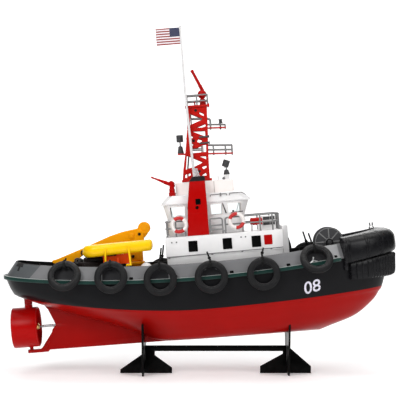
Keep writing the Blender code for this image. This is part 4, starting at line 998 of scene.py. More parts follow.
anchor = bars([[on_wall(185, 2, 1.5), on_wall(191, 6, 1.5), on_wall(198, 3, 1.5)],
               [on_wall(190, 4, 1.5), on_wall(192, 11, 1.5)]], 1.1, sides=3)
vents += on_both_sides(paint(anchor, FINISH["pipe_silver"]))
finish([tray] + ports + stays + vents, "deck_tray", nodes=["deck_and_bulwark"])

# %% [markdown]
# ## Rub rail
# A strip of soft green plastic runs along the deck edge and takes the knocks. A thin pale bead
# lies on top of it. Both are one section swept along the same line as the deck.

# %% Sweeping a section along the deck edge


def sweep(section, keep, steps=FINE, swell=None):
    """Sweeps points (out, up) along the deck edge where keep(x) is true, both sides in one."""
    side = [p for p in with_normals(deck_line(steps)) if keep(p[0])]
    fore = side[-1][0] > 300
    path = ([(x, -y, nx, -ny) for x, y, nx, ny in side] + side[-2::-1] if fore
            else side[::-1] + [(x, -y, nx, -ny) for x, y, nx, ny in side[1:]])
    rows, along = [], 0.0
    for i, (x, y, nx, ny) in enumerate(path):
        if i:
            along += math.hypot(x - path[i - 1][0], y - path[i - 1][1])
        points = section(x) if callable(section) else section
        push = swell(along, x) if swell else (0.0,) * len(points)
        ring = [(x + nx * (out + p), y + ny * (out + p), sheer(x) + up)
                for (out, up), p in zip(points, push)]
        rows.append(ring + ring[:1])
    return skin(rows, caps=True)


def rail_side(x):
    return x < 236.0


RAIL_SECTION = ((GAP, -3.0), (2.6, -3.0), (3.1, -2.5), (3.2, -1.8), (3.2, 1.6), (3.0, 2.3), (2.5, 2.6), (GAP, 2.6))
BEAD_SECTION = ((GAP, 2.55), (2.3, 2.55), (2.8, 2.8), (2.9, 3.1), (2.6, 3.4), (GAP, 3.4))
strip = sweep(RAIL_SECTION, rail_side, (26, 30, 26))
bead = sweep(BEAD_SECTION, rail_side, (26, 30, 26))
finish([paint(strip, FINISH["rail_green"]), paint(bead, FINISH["rail_line"])], "rub_strip",
       nodes=["rub_rail"])

# %% [markdown]
# ## Bow fenders
# A tug pushes with its bow, so the stem wears thick rubber: an upper roll over the bulwark with
# narrow seams, and a lower pad whose fore part has upright ribs. Seams and ribs come from pushing
# the points of the section in or out along the sweep.

# %% Upper and lower fender


def upper_section(x):
    """Half-round rubber over the bow bulwark."""
    swell = min(max((x - 240.0) / 75.0, 0.0), 1.0)
    back = lean(x) - GAP
    out = 7.5 + 6.5 * swell
    top = 33.5
    foot = -9.5 + 2.0 * swell
    return ((-back * 0.96, BULWARK_HIGH), (-back * 0.9, top - 0.8), (-back * 0.7, top), (-back * 0.1, top - 1.5),
            (out * 0.45, top - 4.8), (out * 0.75, top - 9.0), (out * 0.93, top - 14.0), (out, 8.0), (out, 1.0),
            (out * 0.93, foot + 4.5), (out * 0.8, foot + 2.0), (out * 0.6, foot + 0.7), (out * 0.35, foot),
            (GAP, foot), (GAP, GAP))


def lower_section(x):
    """The pad under it."""
    swell = min(max((x - 250.0) / 65.0, 0.0), 1.0)
    out = 5.0 + 7.0 * swell
    top = -10.5 + 2.2 * swell
    foot = -36.0 - 9.0 * swell
    return ((-30.0, top), (out * 0.5, top), (out * 0.85, top - 0.8), (out, top - 3.0),
            (out - 0.8 * swell, top - 10.0), (out - 1.7 * swell, foot + 12.0), (out - 2.5 * swell, foot + 6.0),
            (out - 4.0 * swell, foot + 2.0), (out - 7.0 * swell, foot), (-30.0, foot))


def grooved(seams, ribs_from, first, last, count):
    """Narrow seams across the section at places x, and upright ribs from a place on."""
    def push(along, x):
        size = -1.5 * max(0.0, 1.0 - min(abs(x - s) for s in seams) / 1.3)
        if x > ribs_from:
            size += 1.5 * max(0.0, 1.0 - abs(along % 5.4 - 2.7) / 2.0) ** 0.5 - 0.7
        return [size if first <= i <= last else 0.0 for i in range(count)]
    return push


upper = sweep(upper_section, lambda x: x > 241.0, (4, 6, 330),
              grooved((246.0, 249.5, 275.5, 279.0, 296.5, 299.0), 999.0, 2, 12, 15))
lower = sweep(lower_section, lambda x: x > 250.0, (4, 6, 420), grooved((259.0, 268.0, 277.0), 283.0, 2, 7, 10))
upper = [upper]
for side in (-1, 1):
    y = sorted((side * (half_at(244) - 2.0), side * (half_at(244) + 4.5)))
    upper.append(block((241.5, 246.5), y, (98.0, 112.0), 0.8))
finish([paint(p, FINISH["bow_rubber"]) for p in upper], "bow_roll", nodes=["bow_fender_upper"])
finish(paint(lower, FINISH["bow_rubber"]), "bow_pad", nodes=["bow_fender_lower"])
print("bow rubber done")

# %% [markdown]
# ## Tyre fenders
# Six old tyres hang on each side. A tyre is a turned part: the half section has a rounded tread
# with grooves, a sidewall with two raised rings and a beaded inner edge. It is turned once, and
# each copy leans on the rub rail as its own lashing holds it.

# %% One tyre
TYRE_R, TYRE_HOLE, TYRE_HALF = 26.5, 15.8, 5.0
RAIL_OUT, RAIL_TOP, RAIL_CLIMB = 3.2, 3.4, 0.35
half_section = [(-2.6, 15.8), (-3.7, 16.0), (-4.4, 16.7), (-4.6, 17.6), (-4.35, 18.1), (-4.8, 18.8), (-5.0, 20.0),
                (-4.95, 21.4), (-4.6, 22.9), (-4.0, 24.3), (-3.2, 25.4), (-2.5, 26.1), (-2.0, 26.4),
                (-1.8, 26.0), (-1.4, 26.0), (-1.1, 26.5)]
tyre_profile = half_section + [(-a, r) for a, r in reversed(half_section)]
tyre = lathe(tyre_profile, "y", (0, 0, 0), 72)
paint(tyre, FINISH["tyre_rubber"], FINISH["rope_black"])
print("one tyre:", len(tyre.data.polygons), "faces")

# %% [markdown]
# The lashing is a rope laid up from three strands. Each strand is a round bar on a helix round
# the rope's own line, which is how rope looks up close. It runs from the tyre over the bulwark.

# %% A laid rope


def rope(points, radius, lay=6.0, taper=0.7):
    """Three strands wound round a line of points, with a turn every few millimetres."""
    path = bent(points, 3.0)
    spots, along = [], 0.0
    for i in range(len(path) - 1):
        length = (path[i + 1] - path[i]).length
        count = max(int(length / 0.7), 1)
        way = (path[i + 1] - path[i]).normalized()
        for k in range(count):
            spots.append((path[i] + (path[i + 1] - path[i]) * k / count, way, along + length * k / count))
        along += length
    spots.append((path[-1], (path[-1] - path[-2]).normalized(), along))
    strands = []
    for s in range(3):
        line = []
        for place, way, run in spots:
            side = way.cross(Vector((1, 0, 0))).normalized()
            other = way.cross(side)
            angle = 2 * math.pi * (run / lay + s / 3)
            size = radius * 0.52 * (1 + (taper - 1) * run / along)
            line.append(place + side * (size * math.cos(angle)) + other * (size * math.sin(angle)))
        strands.append(line)
    return bars(strands, radius * 0.55, reach=0, sides=1, taper=taper)


for number, (x, height, lean_deg, tip_x, tip_z) in enumerate(TYRES, 1):
    yaw = math.atan((half_at(x + 1.0) - half_at(x - 1.0)) / 2.0)
    normal = Vector((-math.sin(yaw), math.cos(yaw), 0.0))
    tilt = math.radians(lean_deg)
    face = normal * math.cos(tilt) + Vector((0, 0, math.sin(tilt)))
    up = Vector((0, 0, math.cos(tilt))) - normal * math.sin(tilt)
    climb = RAIL_CLIMB * (sheer(abs(x) + TYRE_R) - sheer(x))
    edge = (Vector((x, half_at(x), sheer(x) + RAIL_TOP)) + normal * RAIL_OUT
            + face * (GAP + 0.2 + climb * math.sin(tilt)))
    centre = edge + face * TYRE_HALF + up * ((height - edge.z - face.z * TYRE_HALF) / math.cos(tilt))
    turn = Matrix((up.cross(face) * -1.0, face, up)).transposed().to_4x4()
    rim = Vector((x, half_at(x), sheer(x) + BULWARK_HIGH)) - normal * lean(x)
    over = rim + Vector((0, 0, 3.0)) - normal * 0.5
    tip = Vector((tip_x, rim.y - 3.0, tip_z))
    grip = centre + up * (TYRE_HOLE - 1.0)
    outer = centre + up * 21.0 + face * 6.2
    line = [grip - face * 3.0, grip + face * 4.6, outer, centre + up * (TYRE_R + 1.8) + face * 1.5, over, tip]
    knot = lathe(bulge(2.6, 8), "z", over + (tip - over) * 0.25, 12)
    for side, mirror in (("port", None), ("starboard", MIRROR)):
        made = copy_of(tyre, Matrix.Translation(centre) @ turn)
        made.data.materials.clear()
        paint(made, FINISH["tyre_rubber"])
        lashing = paint(rope(line, 2.0), FINISH["rope_black"])
        tied = paint(copy_of(knot), FINISH["rope_black"])
        group_parts = [made, lashing, tied]
        if mirror:
            for part in group_parts:
                part.data.transform(mirror)
                part.data.flip_normals()
        finish(group_parts, f"tyre_{side}_{number}", nodes=[f"tyre_fender_{side}_{number}"])
    bpy.data.objects.remove(knot)
bpy.data.objects.remove(tyre)

# %% [markdown]
# ## Propeller, shaft and steering nozzle
# The nozzle is a ring with a wing section: thick in front, thin behind, narrowest in the
# middle. It is turned. The propeller has four blades on a boss, each a thin skin whose pitch
# eases from steep at the boss to flat at the tip. One blade is made and copied round.

# %% Nozzle
NOZZLE_R, NOZZLE_BORE = 33.0, 29.6
NOZZLE_AFT, NOZZLE_FORE = -304.0, -261.5
NOZZLE_MIDDLE = 0.5 * (NOZZLE_AFT + NOZZLE_FORE)
reach = NOZZLE_FORE - NOZZLE_MIDDLE
wing = [(reach - 0.1, NOZZLE_R - 2.1), (reach - 0.4, NOZZLE_R - 1.6), (reach - 1.6, NOZZLE_R - 0.9),
        (reach - 4.0, NOZZLE_R - 0.4), (reach - 12.0, NOZZLE_R - 0.2), (-reach + 1.2, NOZZLE_R),
        (-reach + 0.3, NOZZLE_R - 0.3), (-reach, NOZZLE_R - 0.9), (-reach + 0.2, NOZZLE_R - 1.5),
        (-reach + 8.0, NOZZLE_BORE + 1.2), (-2.0, NOZZLE_BORE), (reach - 10.0, NOZZLE_BORE),
        (reach - 4.0, NOZZLE_BORE + 0.3), (reach - 1.4, NOZZLE_R - 2.9), (reach - 0.4, NOZZLE_R - 2.6)]
ring = lathe(wing, "x", (NOZZLE_MIDDLE, 0, SHAFT_Z), 96)
lip = lathe([(reach - 2.6, NOZZLE_R - 0.7), (reach - 2.4, NOZZLE_R - 0.2), (reach - 1.6, NOZZLE_R - 0.2),
             (reach - 1.4, NOZZLE_R - 0.9)], "x", (NOZZLE_MIDDLE, 0, SHAFT_Z), 96)
neck = lathe([(69.8, 0.0), (69.8, 8.2), (71.2, 7.6), (72.0, 6.5), (75.8, 6.5), (76.25, 6.0), (76.25, 0.0)],
             "z", (STOCK_X, 0, 0), 36)
pintle = lathe([(2.55, 0.0), (2.55, 3.0), (6.6, 3.0), (7.4, 4.2), (8.6, 5.6), (8.6, 0.0)], "z", (STOCK_X, 0, 0), 28)
nozzle_parts = [paint(p, FINISH["signal_red"]) for p in (ring, lip, neck, pintle)]
finish(nozzle_parts, "nozzle_ring", body="nozzle", nodes=["steering_nozzle"])

# %% Propeller
BLADES = 4
BLADE_ROWS = (
    # radius, half chord, pitch in degrees, half thickness
    (3.4, 3.0, 60.0, 1.2), (8.0, 5.2, 54.0, 1.05), (14.0, 7.0, 48.0, 0.9), (18.5, 7.9, 42.5, 0.8),
    (22.0, 8.0, 38.0, 0.7), (25.0, 7.2, 33.5, 0.58), (26.8, 5.6, 31.0, 0.42), (27.6, 3.2, 30.0, 0.2),
)
blade_rows = []
for radius, chord, pitch, thick in BLADE_ROWS:
    c, s = math.cos(math.radians(pitch)), math.sin(math.radians(pitch))
    loop = []
    for i in range(25):
        a = 2 * math.pi * i / 24
        p, q = chord * math.cos(a), thick * math.sin(a) * (1.0 - 0.25 * math.cos(a))
        loop.append((p * c - q * s, p * s + q * c, radius))
    blade_rows.append(loop)
blade = skin(smooth_rows(blade_rows, 2), caps=True)
blades = [copy_of(blade, Matrix.Translation((STOCK_X, 0, SHAFT_Z))
                  @ Matrix.Rotation((i + 0.12) * 2 * math.pi / BLADES, 4, "X")) for i in range(BLADES)]
bpy.data.objects.remove(blade)
boss = lathe([(-12.0, 0.0), (-11.9, 1.2), (-11.2, 2.6), (-9.4, 3.9), (-7.0, 4.7), (-5.5, 5.0), (12.4, 5.0),
              (13.4, 4.6), (15.2, 3.6), (15.5, 3.2), (15.5, 0.0)], "x", (STOCK_X, 0, SHAFT_Z), 40)
groove = lathe([(-6.2, 4.6), (-6.2, 5.35), (-5.0, 5.35), (-5.0, 4.6)], "x", (STOCK_X, 0, SHAFT_Z), 40)
finish([paint(p, FINISH["cast_brass"]) for p in [boss, groove] + blades], "propeller_blades", body="propeller",
       nodes=["propeller"], smooth=50)
shaft_start = STOCK_X + 15.5 + GAP
shaft = lathe([(shaft_start, 0.0), (shaft_start, 1.8), (shaft_start + 0.4, 2.15), (-240.0, 2.15), (-215.0, 2.15),
               (-215.0, 0.0)], "x", (0, 0, SHAFT_Z), 28)
finish(paint(shaft, FINISH["shaft_steel"]), "shaft", body="propeller", nodes=["propeller_shaft"])
print("drive done")

# %% [markdown]
# ## Anchor winch and bow post
# The winch is a drum with two big flanges on a shaft between side plates. Each flange has
# eight raised spokes, and the drum carries wound line, which is the wavy part of its section.

# %% Winch
WINCH_X, WINCH_Z, DRUM_R = 224.0, 143.4, 24.0
winch_deck = sheer(WINCH_X) + DECK_THICK
half = 17.0
core = []
for i in range(57):
    core.append((-14.2 + 28.4 * i / 56, 10.0 + 0.55 * abs(math.sin(math.pi * i / 4))))
profile = ([(-half - 6, 0.0), (-half - 6, 2.2), (-half - 5.6, 2.6), (-half, 2.6), (-half, 22.8), (-half + 0.3, 23.6),
            (-half + 1.0, 24.0), (-15.6, 23.8), (-15.1, 23.2), (-15.0, 10.0)] + core
           + [(15.0, 10.0), (15.1, 23.2), (15.6, 23.8), (half - 1.0, 24.0), (half - 0.3, 23.6), (half, 22.8),
              (half, 2.6), (half + 5.6, 2.6), (half + 6, 2.2), (half + 6, 0.0)])
drum = lathe(profile, "y", (WINCH_X, 0, WINCH_Z), 72)
spoke = block((4.0, 22.0), (-0.35, 0.55), (-0.9, 0.9), 0.3, 2)
drum_parts = [paint(drum, FINISH["gear_grey"])]
for side in (-1, 1):
    for i in range(8):
        turn = Matrix.Rotation(2 * math.pi * i / 8, 4, "Y")
        place = Matrix.Translation((WINCH_X, side * half, WINCH_Z)) @ turn @ Matrix.Diagonal((1, side, 1, 1))
        drum_parts.append(paint(copy_of(spoke, place), FINISH["rail_paint"]))
    for radius in (5.6, 22.4):
        rim = lathe([(half - 0.2, radius - 0.7), (half + 0.7, radius - 0.4), (half + 0.7, radius + 0.4),
                     (half - 0.2, radius + 0.7)], "y", (WINCH_X, 0, WINCH_Z), 56)
        if side < 0:
            rim.data.transform(MIRROR)
            rim.data.flip_normals()
        drum_parts.append(paint(rim, FINISH["rail_paint"]))
bpy.data.objects.remove(spoke)
finish(drum_parts, "winch_drum_spoked", body="winch_drum", nodes=["winch_drum"])

bed = []
for y in (-20.1, 20.1):
    bed.append(block((WINCH_X - 17, WINCH_X + 17), (y - 1.9, y + 1.9), (winch_deck + 1.6, winch_deck + 4.6), 0.5))
for x in (WINCH_X - 14.75, WINCH_X + 14.75):
    bed.append(block((x - 2.25, x + 2.25), (-22, 22), (winch_deck + 1.6, winch_deck + 4.6), 0.5))
for side in (-1, 1):
    outline = [(WINCH_X - 9.0, winch_deck + 3.0), (WINCH_X + 9.0, winch_deck + 3.0),
               (WINCH_X + 5.6, WINCH_Z + 3.0), (WINCH_X, WINCH_Z + 6.2), (WINCH_X - 5.6, WINCH_Z + 3.0)]
    y = side * (half + 3.6)
    bed.append(plate(rounded(outline, 2.0), "y", y - 1.2, y + 1.2, holes=[hole((WINCH_X, WINCH_Z), 2.95)]))
    bed.append(lathe([(-1.7, 2.95), (-1.7, 4.4), (1.7, 4.4), (1.7, 2.95)], "y", (WINCH_X, y, WINCH_Z), 28))
    for x in (WINCH_X - 14, WINCH_X + 14):
        bed.append(block((x - 3, x + 3), (side * 19.5 - 3, side * 19.5 + 3),
                         (sheer(x) + DECK_THICK + GAP, winch_deck + 2.0), 0.5))
        bed.append(lathe([(0, 0.0), (0, 1.5), (0.9, 1.5), (1.2, 1.2), (1.2, 0.0)], "z",
                         (x, side * 19.5, winch_deck + 4.6), 6))
finish([paint(p, FINISH["gear_black"]) for p in bed], "winch_stand", nodes=["winch_frame"])

# %% Bow post
POST_X = 296.5
post = lathe([(sheer(292) + 2.5, 0.0), (sheer(292) + 2.5, 3.4), (sheer(292) + 4.0, 3.4), (sheer(292) + 4.6, 2.2),
              (154.0, 2.2), (155.0, 3.4), (157.0, 3.4), (157.0, 0.0)], "z", (POST_X, 0, 0), 24)
ball = lathe(bulge(4.6, 16), "z", (POST_X, 0, 160.3), 32)
horns = bars([[(POST_X + 1.2 * s, 0, 163.5), (POST_X + 2.4 * s, 0, 166.0), (POST_X + 2.2 * s, 0, 169.4)]
              for s in (-1, 1)], 1.25, reach=1.0)
finish([paint(post, FINISH["rail_paint"]), paint(ball, FINISH["pipe_silver"]), paint(horns, FINISH["rail_paint"])],
       "bow_post_ball", nodes=["bow_post"])

# %% [markdown]
# ## Towing gear, crane and rescue boat
# The aft deck is crowded: a dark winch block with the towing eye, an orange folding crane lying
# aft, and a yellow inflatable over a red hull. The crane's parts are cast, so their outlines
# are softly rounded plates.

# %% Towing gear
deck_aft = sheer(-163.0) + DECK_THICK
tow = [block((-181.0, -143.5), (-30.0, -6.0), (deck_aft, 141.0), 1.2),
       block((-178.0, -145.0), (-28.0, -8.0), (140.0, 147.6), 1.5),
       block((-188.0, -179.0), (-20.0, -16.0), (134.0, 140.5), 0.8)]
ring = lathe([(-1.6, 2.2), (-1.4, 4.6), (0, 5.0), (1.4, 4.6), (1.6, 2.2), (0, 1.9)], "y", (-189.5, -18.0, 143.3), 28)
for x in (-176.5, -170.0, -157.0, -150.5):
    for z in (126.5, 136.5):
        tow.append(lathe([(0, 0.0), (0, 1.1), (0.8, 1.1), (1.0, 0.8), (1.0, 0.0)], "y", (x, -30.9, z), 6))
knob = lathe([(0, 0), (0, 1.6), (2.2, 1.6), (2.6, 3.0), (4.6, 3.4), (6.0, 2.2), (6.4, 0)], "z", (-153.0, -12.0, 148.0), 20)
tow_parts = [paint(p, FINISH["gear_brown"]) for p in tow] + [paint(p, FINISH["gear_grey"]) for p in (knob, ring)]
finish(tow_parts, "towing_block", nodes=["towing_gear"])

# %% Crane
CRANE_X, CRANE_Y = -94.5, 14.0
LUFF_X, LUFF_Z = -86.2, 178.5
crane_deck = sheer(CRANE_X) + DECK_THICK + 0.1
foot_parts = [
    lathe([(crane_deck, 0.0), (crane_deck, 11.0), (crane_deck + 1.6, 11.0), (crane_deck + 2.6, 9.5), (129.2, 9.5),
           (129.2, 0.0)], "z", (CRANE_X, CRANE_Y, 0), 40),
    block((CRANE_X - 13.5, CRANE_X + 13.5), (CRANE_Y - 12, CRANE_Y + 12), (129.0, 133.6), 1.0)]
for dx in (-10.5, 10.5):
    for dy in (-9.0, 9.0):
        bolt = lathe([(0, 0), (0, 1.3), (0.25, 1.3), (0.25, 0)], "z", (CRANE_X + dx, CRANE_Y + dy, 133.55), 6)
        foot_parts.append(bolt)
finish([paint(p, FINISH["crane_orange"]) for p in foot_parts], "crane_foot",
       nodes=["crane_pedestal"])

CHEEK = [(-104.0, 150.0), (-84.0, 150.0), (-79.0, 172.0), (-79.5, 181.0), (-84.0, 185.5), (-89.5, 185.0),
         (-93.0, 180.0)]
column = [block((-106.0, -83.0), (CRANE_Y - 8, CRANE_Y + 8), (133.95, 152.0), 2.2, 4)]
for s in (-1, 1):
    y = CRANE_Y + s * 7.3
    column.append(plate(rounded(CHEEK, 3.5), "y", y - 0.9, y + 0.9, edge=0.5, holes=[hole((LUFF_X, LUFF_Z), 2.6)]))
column = [paint(p, FINISH["crane_orange"]) for p in column]
pin = lathe([(-9.5, 0), (-9.5, 2.2), (-9.1, 2.6), (9.1, 2.6), (9.5, 2.2), (9.5, 0)], "y", (-99.2, CRANE_Y, 142.5), 28)
cover = lathe([(-8.4, 3.0), (-8.4, 4.4), (-8.0, 4.4), (-8.0, 3.0)], "y", (-99.2, CRANE_Y, 142.5), 28)
column += [paint(pin, FINISH["gear_black"]), paint(cover, FINISH["crane_orange"])]
finish(column, "crane_post", body="crane_column", nodes=["crane_column"])

HEAD_X, HEAD_Z = -77.8, 188.0
BOOM = [(-71.0, 180.0), (-70.0, 190.0), (-78.0, 196.0), (-88.0, 188.3), (-114.3, 184.4), (-134.6, 179.2),
        (-179.6, 162.9), (-226.8, 146.9), (-234.0, 145.6), (-233.6, 141.5), (-224.0, 137.5), (-200.0, 139.0),
        (-184.0, 149.0), (-180.0, 152.5), (-140.0, 160.0), (-110.0, 166.0), (-86.0, 166.0), (-77.0, 173.0)]
boom = plate(rounded(BOOM, 4.0), "y", CRANE_Y - 5.2, CRANE_Y + 5.2, edge=1.3, steps=3)
boom_parts = [paint(boom, FINISH["crane_orange"])]
for x, z, r, out in ((HEAD_X, HEAD_Z, 10.3, 5.8), (HEAD_X, HEAD_Z, 5.0, 6.2), (-99.8, 176.0, 4.9, 5.8),
                     (-99.8, 176.0, 2.8, 6.2), (-182.5, 157.5, 3.4, 5.7)):
    boss = lathe([(-out, 0), (-out, r - 0.6), (-out + 0.5, r), (out - 0.5, r), (out, r - 0.6), (out, 0)], "y",
                 (x, CRANE_Y, z), 36)
    boom_parts.append(paint(boss, FINISH["crane_orange"]))
hook = bars([[(-183.6, 7.6, 158.0), (-184.6, 7.6, 154.0), (-183.0, 7.6, 150.0)]], 1.1, sides=3)
pin = lathe([(-9.6, 0), (-9.6, 1.8), (-9.3, 2.2), (9.3, 2.2), (9.6, 1.8), (9.6, 0)], "y", (LUFF_X, CRANE_Y, LUFF_Z), 28)
eye = lathe([(-5.8, 0), (-5.8, 1.6), (-5.4, 2.0), (5.4, 2.0), (5.8, 1.6), (5.8, 0)], "y", (-182.6, CRANE_Y, 157.5), 24)
boom_parts += [paint(p, FINISH["gear_black"]) for p in (hook, pin, eye)]
finish(boom_parts, "crane_arm", body="crane_boom", nodes=["crane_boom"])

# %% Rescue boat
BOAT_Y, SPREAD, TUBE_R, TUBE_Z = -39.0, 13.5, 8.7, 161.0
BEND_X, SQUARE, ROUND_STEPS = -154.2, 2.5, 40


def round_or_square(angle):
    """Cosine and sine of a superellipse."""
    return [math.copysign(abs(f(angle)) ** (2 / SQUARE), f(angle)) for f in (math.cos, math.sin)]


turns = [(BEND_X - SPREAD * math.sin(a), -math.cos(a), (-math.sin(a), -math.cos(a)))
         for a in [math.pi * i / 18 for i in range(19)]]
ends = [(x, side, (0.0, side)) for side in (-1.0, 1.0) for x in (-68.0, -90.0, -120.0)]
tube_rows = []
for x, share, (nx, ny) in ends[:3] + turns + ends[:2:-1]:
    fall = (-68.0 - x) * 0.032
    ring = []
    for k in range(ROUND_STEPS + 1):
        c, s = round_or_square(2 * math.pi * k / ROUND_STEPS)
        size = TUBE_R + 0.33 * fall
        ring.append((x + nx * size * c, BOAT_Y + SPREAD * share + ny * size * c, TUBE_Z - fall + size * s))
    tube_rows.append(ring)
tube = skin(tube_rows, caps=True)
boat_floor = block((-156.0, -74.0), (BOAT_Y - SPREAD, BOAT_Y + SPREAD), (155.0, 158.0), 0.8)
collar_parts = [tube, boat_floor]
for s in (-1, 1):
    collar_parts.append(lathe([(-0.4, TUBE_R), (0.0, TUBE_R), (1.6, TUBE_R * 0.93), (2.9, TUBE_R * 0.74),
                               (3.8, TUBE_R * 0.4), (4.0, 0.0)][::-1] + [(-0.4, 0.0)], "x",
                              (-68.0, BOAT_Y + s * SPREAD, TUBE_Z), 40))
finish([paint(p, FINISH["collar_yellow"]) for p in collar_parts], "inflatable_collar",
       nodes=["rescue_boat_collar"], smooth=45)
KEEL = [(BOAT_Y - 6.0, 154.6), (BOAT_Y + 6.0, 154.6), (BOAT_Y + 11.0, 151.0), (BOAT_Y + 4.0, 134.0),
        (BOAT_Y - 4.0, 134.0), (BOAT_Y - 11.0, 151.0)]
keel = plate(rounded(KEEL, 1.2), "x", -145.0, -102.0, edge=1.6, steps=3)
slot_box = block((-137.0, -123.0), (BOAT_Y - 11.4, BOAT_Y - 8.0), (148.0, 150.5), 0.5)
# The pale plate on the rescue hull's side is a painted highlight.
painted_highlight_plate = block((-122.5, -110.5), (BOAT_Y - 11.5, BOAT_Y - 7.0), (150.0, 152.6), 0.5)
dot = lathe([(-0.5, 0), (-0.5, 1.4), (0.5, 1.4), (0.5, 0)], "y", (-115.5, BOAT_Y - 11.4, 151.2), 20)
rib = block((-122.3, -119.3), (BOAT_Y - 10.5, BOAT_Y - 4.0), (134.2, 144.0), 0.8)
finish([paint(keel, FINISH["boat_orange"]), paint(slot_box, FINISH["window_black"]), paint(rib, FINISH["boat_orange"]),
        paint(painted_highlight_plate, FINISH["white_painted_shade"]), paint(dot, FINISH["window_black"])], "rescue_hull",
       nodes=["rescue_boat_hull"])
cradle_parts = []
for x in (-140.0, -106.0):
    low = sheer(x) + DECK_THICK + GAP
    cradle_parts.append(block((x - 1.6, x + 1.6), (BOAT_Y - 16, BOAT_Y + 16), (low, 133.6), 0.5))
cradle_parts.append(block((-140.0, -106.0), (BOAT_Y - 2, BOAT_Y + 2), (112.4, 118.0), 0.4))
finish([paint(p, FINISH["collar_yellow"]) for p in cradle_parts], "rescue_chocks",
       nodes=["rescue_boat_cradle"])
straps = []
for foot, top, low, high, root in ((-140.3, -138.5, 131.4, 162.3, -140.0), (-99.8, -101.6, 131.4, 161.8, -106.0)):
    straps.append(plate([(foot - 1.5, low), (foot + 1.5, low), (top + 1.3, high), (top - 1.3, high)], "y", -64.4, -62.6))
    reach = sorted((root, foot))
    straps.append(block((reach[0] - 1.4, reach[1] + 1.4), (-64.0, BOAT_Y - 15.0), (131.4, 133.4), 0.4))
finish([paint(p, FINISH["collar_yellow"]) for p in straps], "rescue_straps", smooth=50)
print("deck gear done")

# %% [markdown]
# ## Deckhouse
# The deckhouse is one white moulding with softly rounded edges. Its solid in the frame already
# has the right form, so a copy of it is merged, its flat seams are dissolved and its edges are
# bevelled. The dark windows, doors and vents are separate thin mouldings set into it.

# %% Deckhouse walls
HOUSE_HALF, HOUSE_TOP, LEDGE_Z = 49.0, 170.5, 139.0
house = paint(node_copy("deckhouse", 1.3, 3), FINISH["white"])


def side_panel(x0, x1, z0, z1, finish_name, proud=0.45, corner=1.0, y=HOUSE_HALF):
    """A thin rounded panel on both sides of the deckhouse."""
    made = plate(rounded([(x0, z0), (x1, z0), (x1, z1), (x0, z1)], corner), "y", -y - proud, -y + 1.2, edge=0.3)
    paint(made, FINISH[finish_name])
    return on_both_sides(made)


panels = []
for x0, x1, z0, z1 in ((-5.9, 8.9, 145.0, 162.6), (49.5, 64.4, 145.2, 163.0), (96.3, 111.2, 145.2, 163.4)):
    panels += side_panel(x0, x1, z0, z1, "window_black")
    frame_line = [(x0 - 0.7, -HOUSE_HALF, z0 - 0.7), (x1 + 0.7, -HOUSE_HALF, z0 - 0.7),
                  (x1 + 0.7, -HOUSE_HALF, z1 + 0.7), (x0 - 0.7, -HOUSE_HALF, z1 + 0.7), (x0 - 0.7, -HOUSE_HALF, z0 - 0.7)]
    panels += on_both_sides(paint(bars([frame_line], 0.45, reach=1.2, sides=2), FINISH["white"]))
panels += side_panel(116.4, 129.6, 147.8, 163.6, "signal_red", proud=0.7, corner=1.4)
for x, z in ((-32.2, 162.2), (-24.6, 162.2), (79.6, 163.0), (86.8, 163.0)):
    panels += on_both_sides(paint(lathe([(-0.9, 0), (-0.9, 0.9), (-0.5, 1.25), (0.5, 1.25), (0.5, 0)], "y",
                                        (x, -HOUSE_HALF, z), 16), FINISH["ledge_grey"]))
# The ledge round the deckhouse is a dark grey bar: it is the seam at the overhang, and its darkness is also painted
# shadow under the overhang.
LEDGE_RISE = 0.0155
ledge = [(x, y, LEDGE_Z + LEDGE_RISE * (x + 40.0)) for x, y in ((-42.0, -HOUSE_HALF + 0.2), (132.0, -HOUSE_HALF + 0.2),
                                                                (146.5, -42.6))]
panels += on_both_sides(paint(bars([ledge], 0.75, reach=2.0, sides=3), FINISH["ledge_grey"]))
for x in (-38.0, 31.5, 80.0, 127.0):
    z = LEDGE_Z + LEDGE_RISE * (x + 40.0)
    panels += on_both_sides(paint(block((x - 1.6, x + 1.6), (-HOUSE_HALF - 0.2, -HOUSE_HALF + 1.4),
                                        (z - 2.0, z), 0.4), FINISH["ledge_grey"]))

# %% [markdown]
# Doors and vents sit on the ends: a plated door in front, two louvred vents on the box on the
# roof, each with slanted slats, as such vents have to keep the rain out.

# %% Front door, louvres and roof items
panels.append(paint(plate(rounded([(-7.5, 128.0), (7.5, 128.0), (7.5, 160.0), (-7.5, 160.0)], 2.0),
                          "x", 156.6, 157.7, edge=0.4), FINISH["ledge_grey"]))
panels.append(paint(block((157.5, 159.3), (4.0, 5.4), (141.0, 147.0), 0.4), FINISH["gear_black"]))
wedge = plate([(157.0, 129.0), (161.4, 129.0), (161.0, 143.0), (157.8, 155.5), (157.0, 155.5)], "y", -27.0, -22.0)
panels += on_both_sides(paint(wedge, FINISH["gear_black"]))
for z in (133.0, 155.0):
    panels.append(paint(bars([[(157.8, -8.2, z), (157.8, -5.4, z)]], 0.7, reach=0), FINISH["gear_black"]))
slats = []
LOUVRES = ((178.6, 185.0), (187.0, 192.4))
for x0, x1 in ((118.6, 129.5), (130.0, 137.6)):
    for z0, z1 in LOUVRES:
        back = plate(rounded([(x0, z0), (x1, z0), (x1, z1), (x0, z1)], 0.5), "y", -16.5, -15.6, edge=0.2)
        slats += on_both_sides(paint(back, FINISH["gear_black"]))
        for k in range(4):
            z = z0 + 0.9 + (z1 - z0 - 1.4) * k / 3.3
            slat = block((x0 + 0.4, x1 - 0.4), (-0.2, 0.2), (-0.85, 0.85), 0.12, 2)
            slat.data.transform(Matrix.Translation((0, -16.8, z)) @ Matrix.Rotation(math.radians(-35), 4, "X"))
            slats += on_both_sides(paint(slat, FINISH["gear_grey"]))
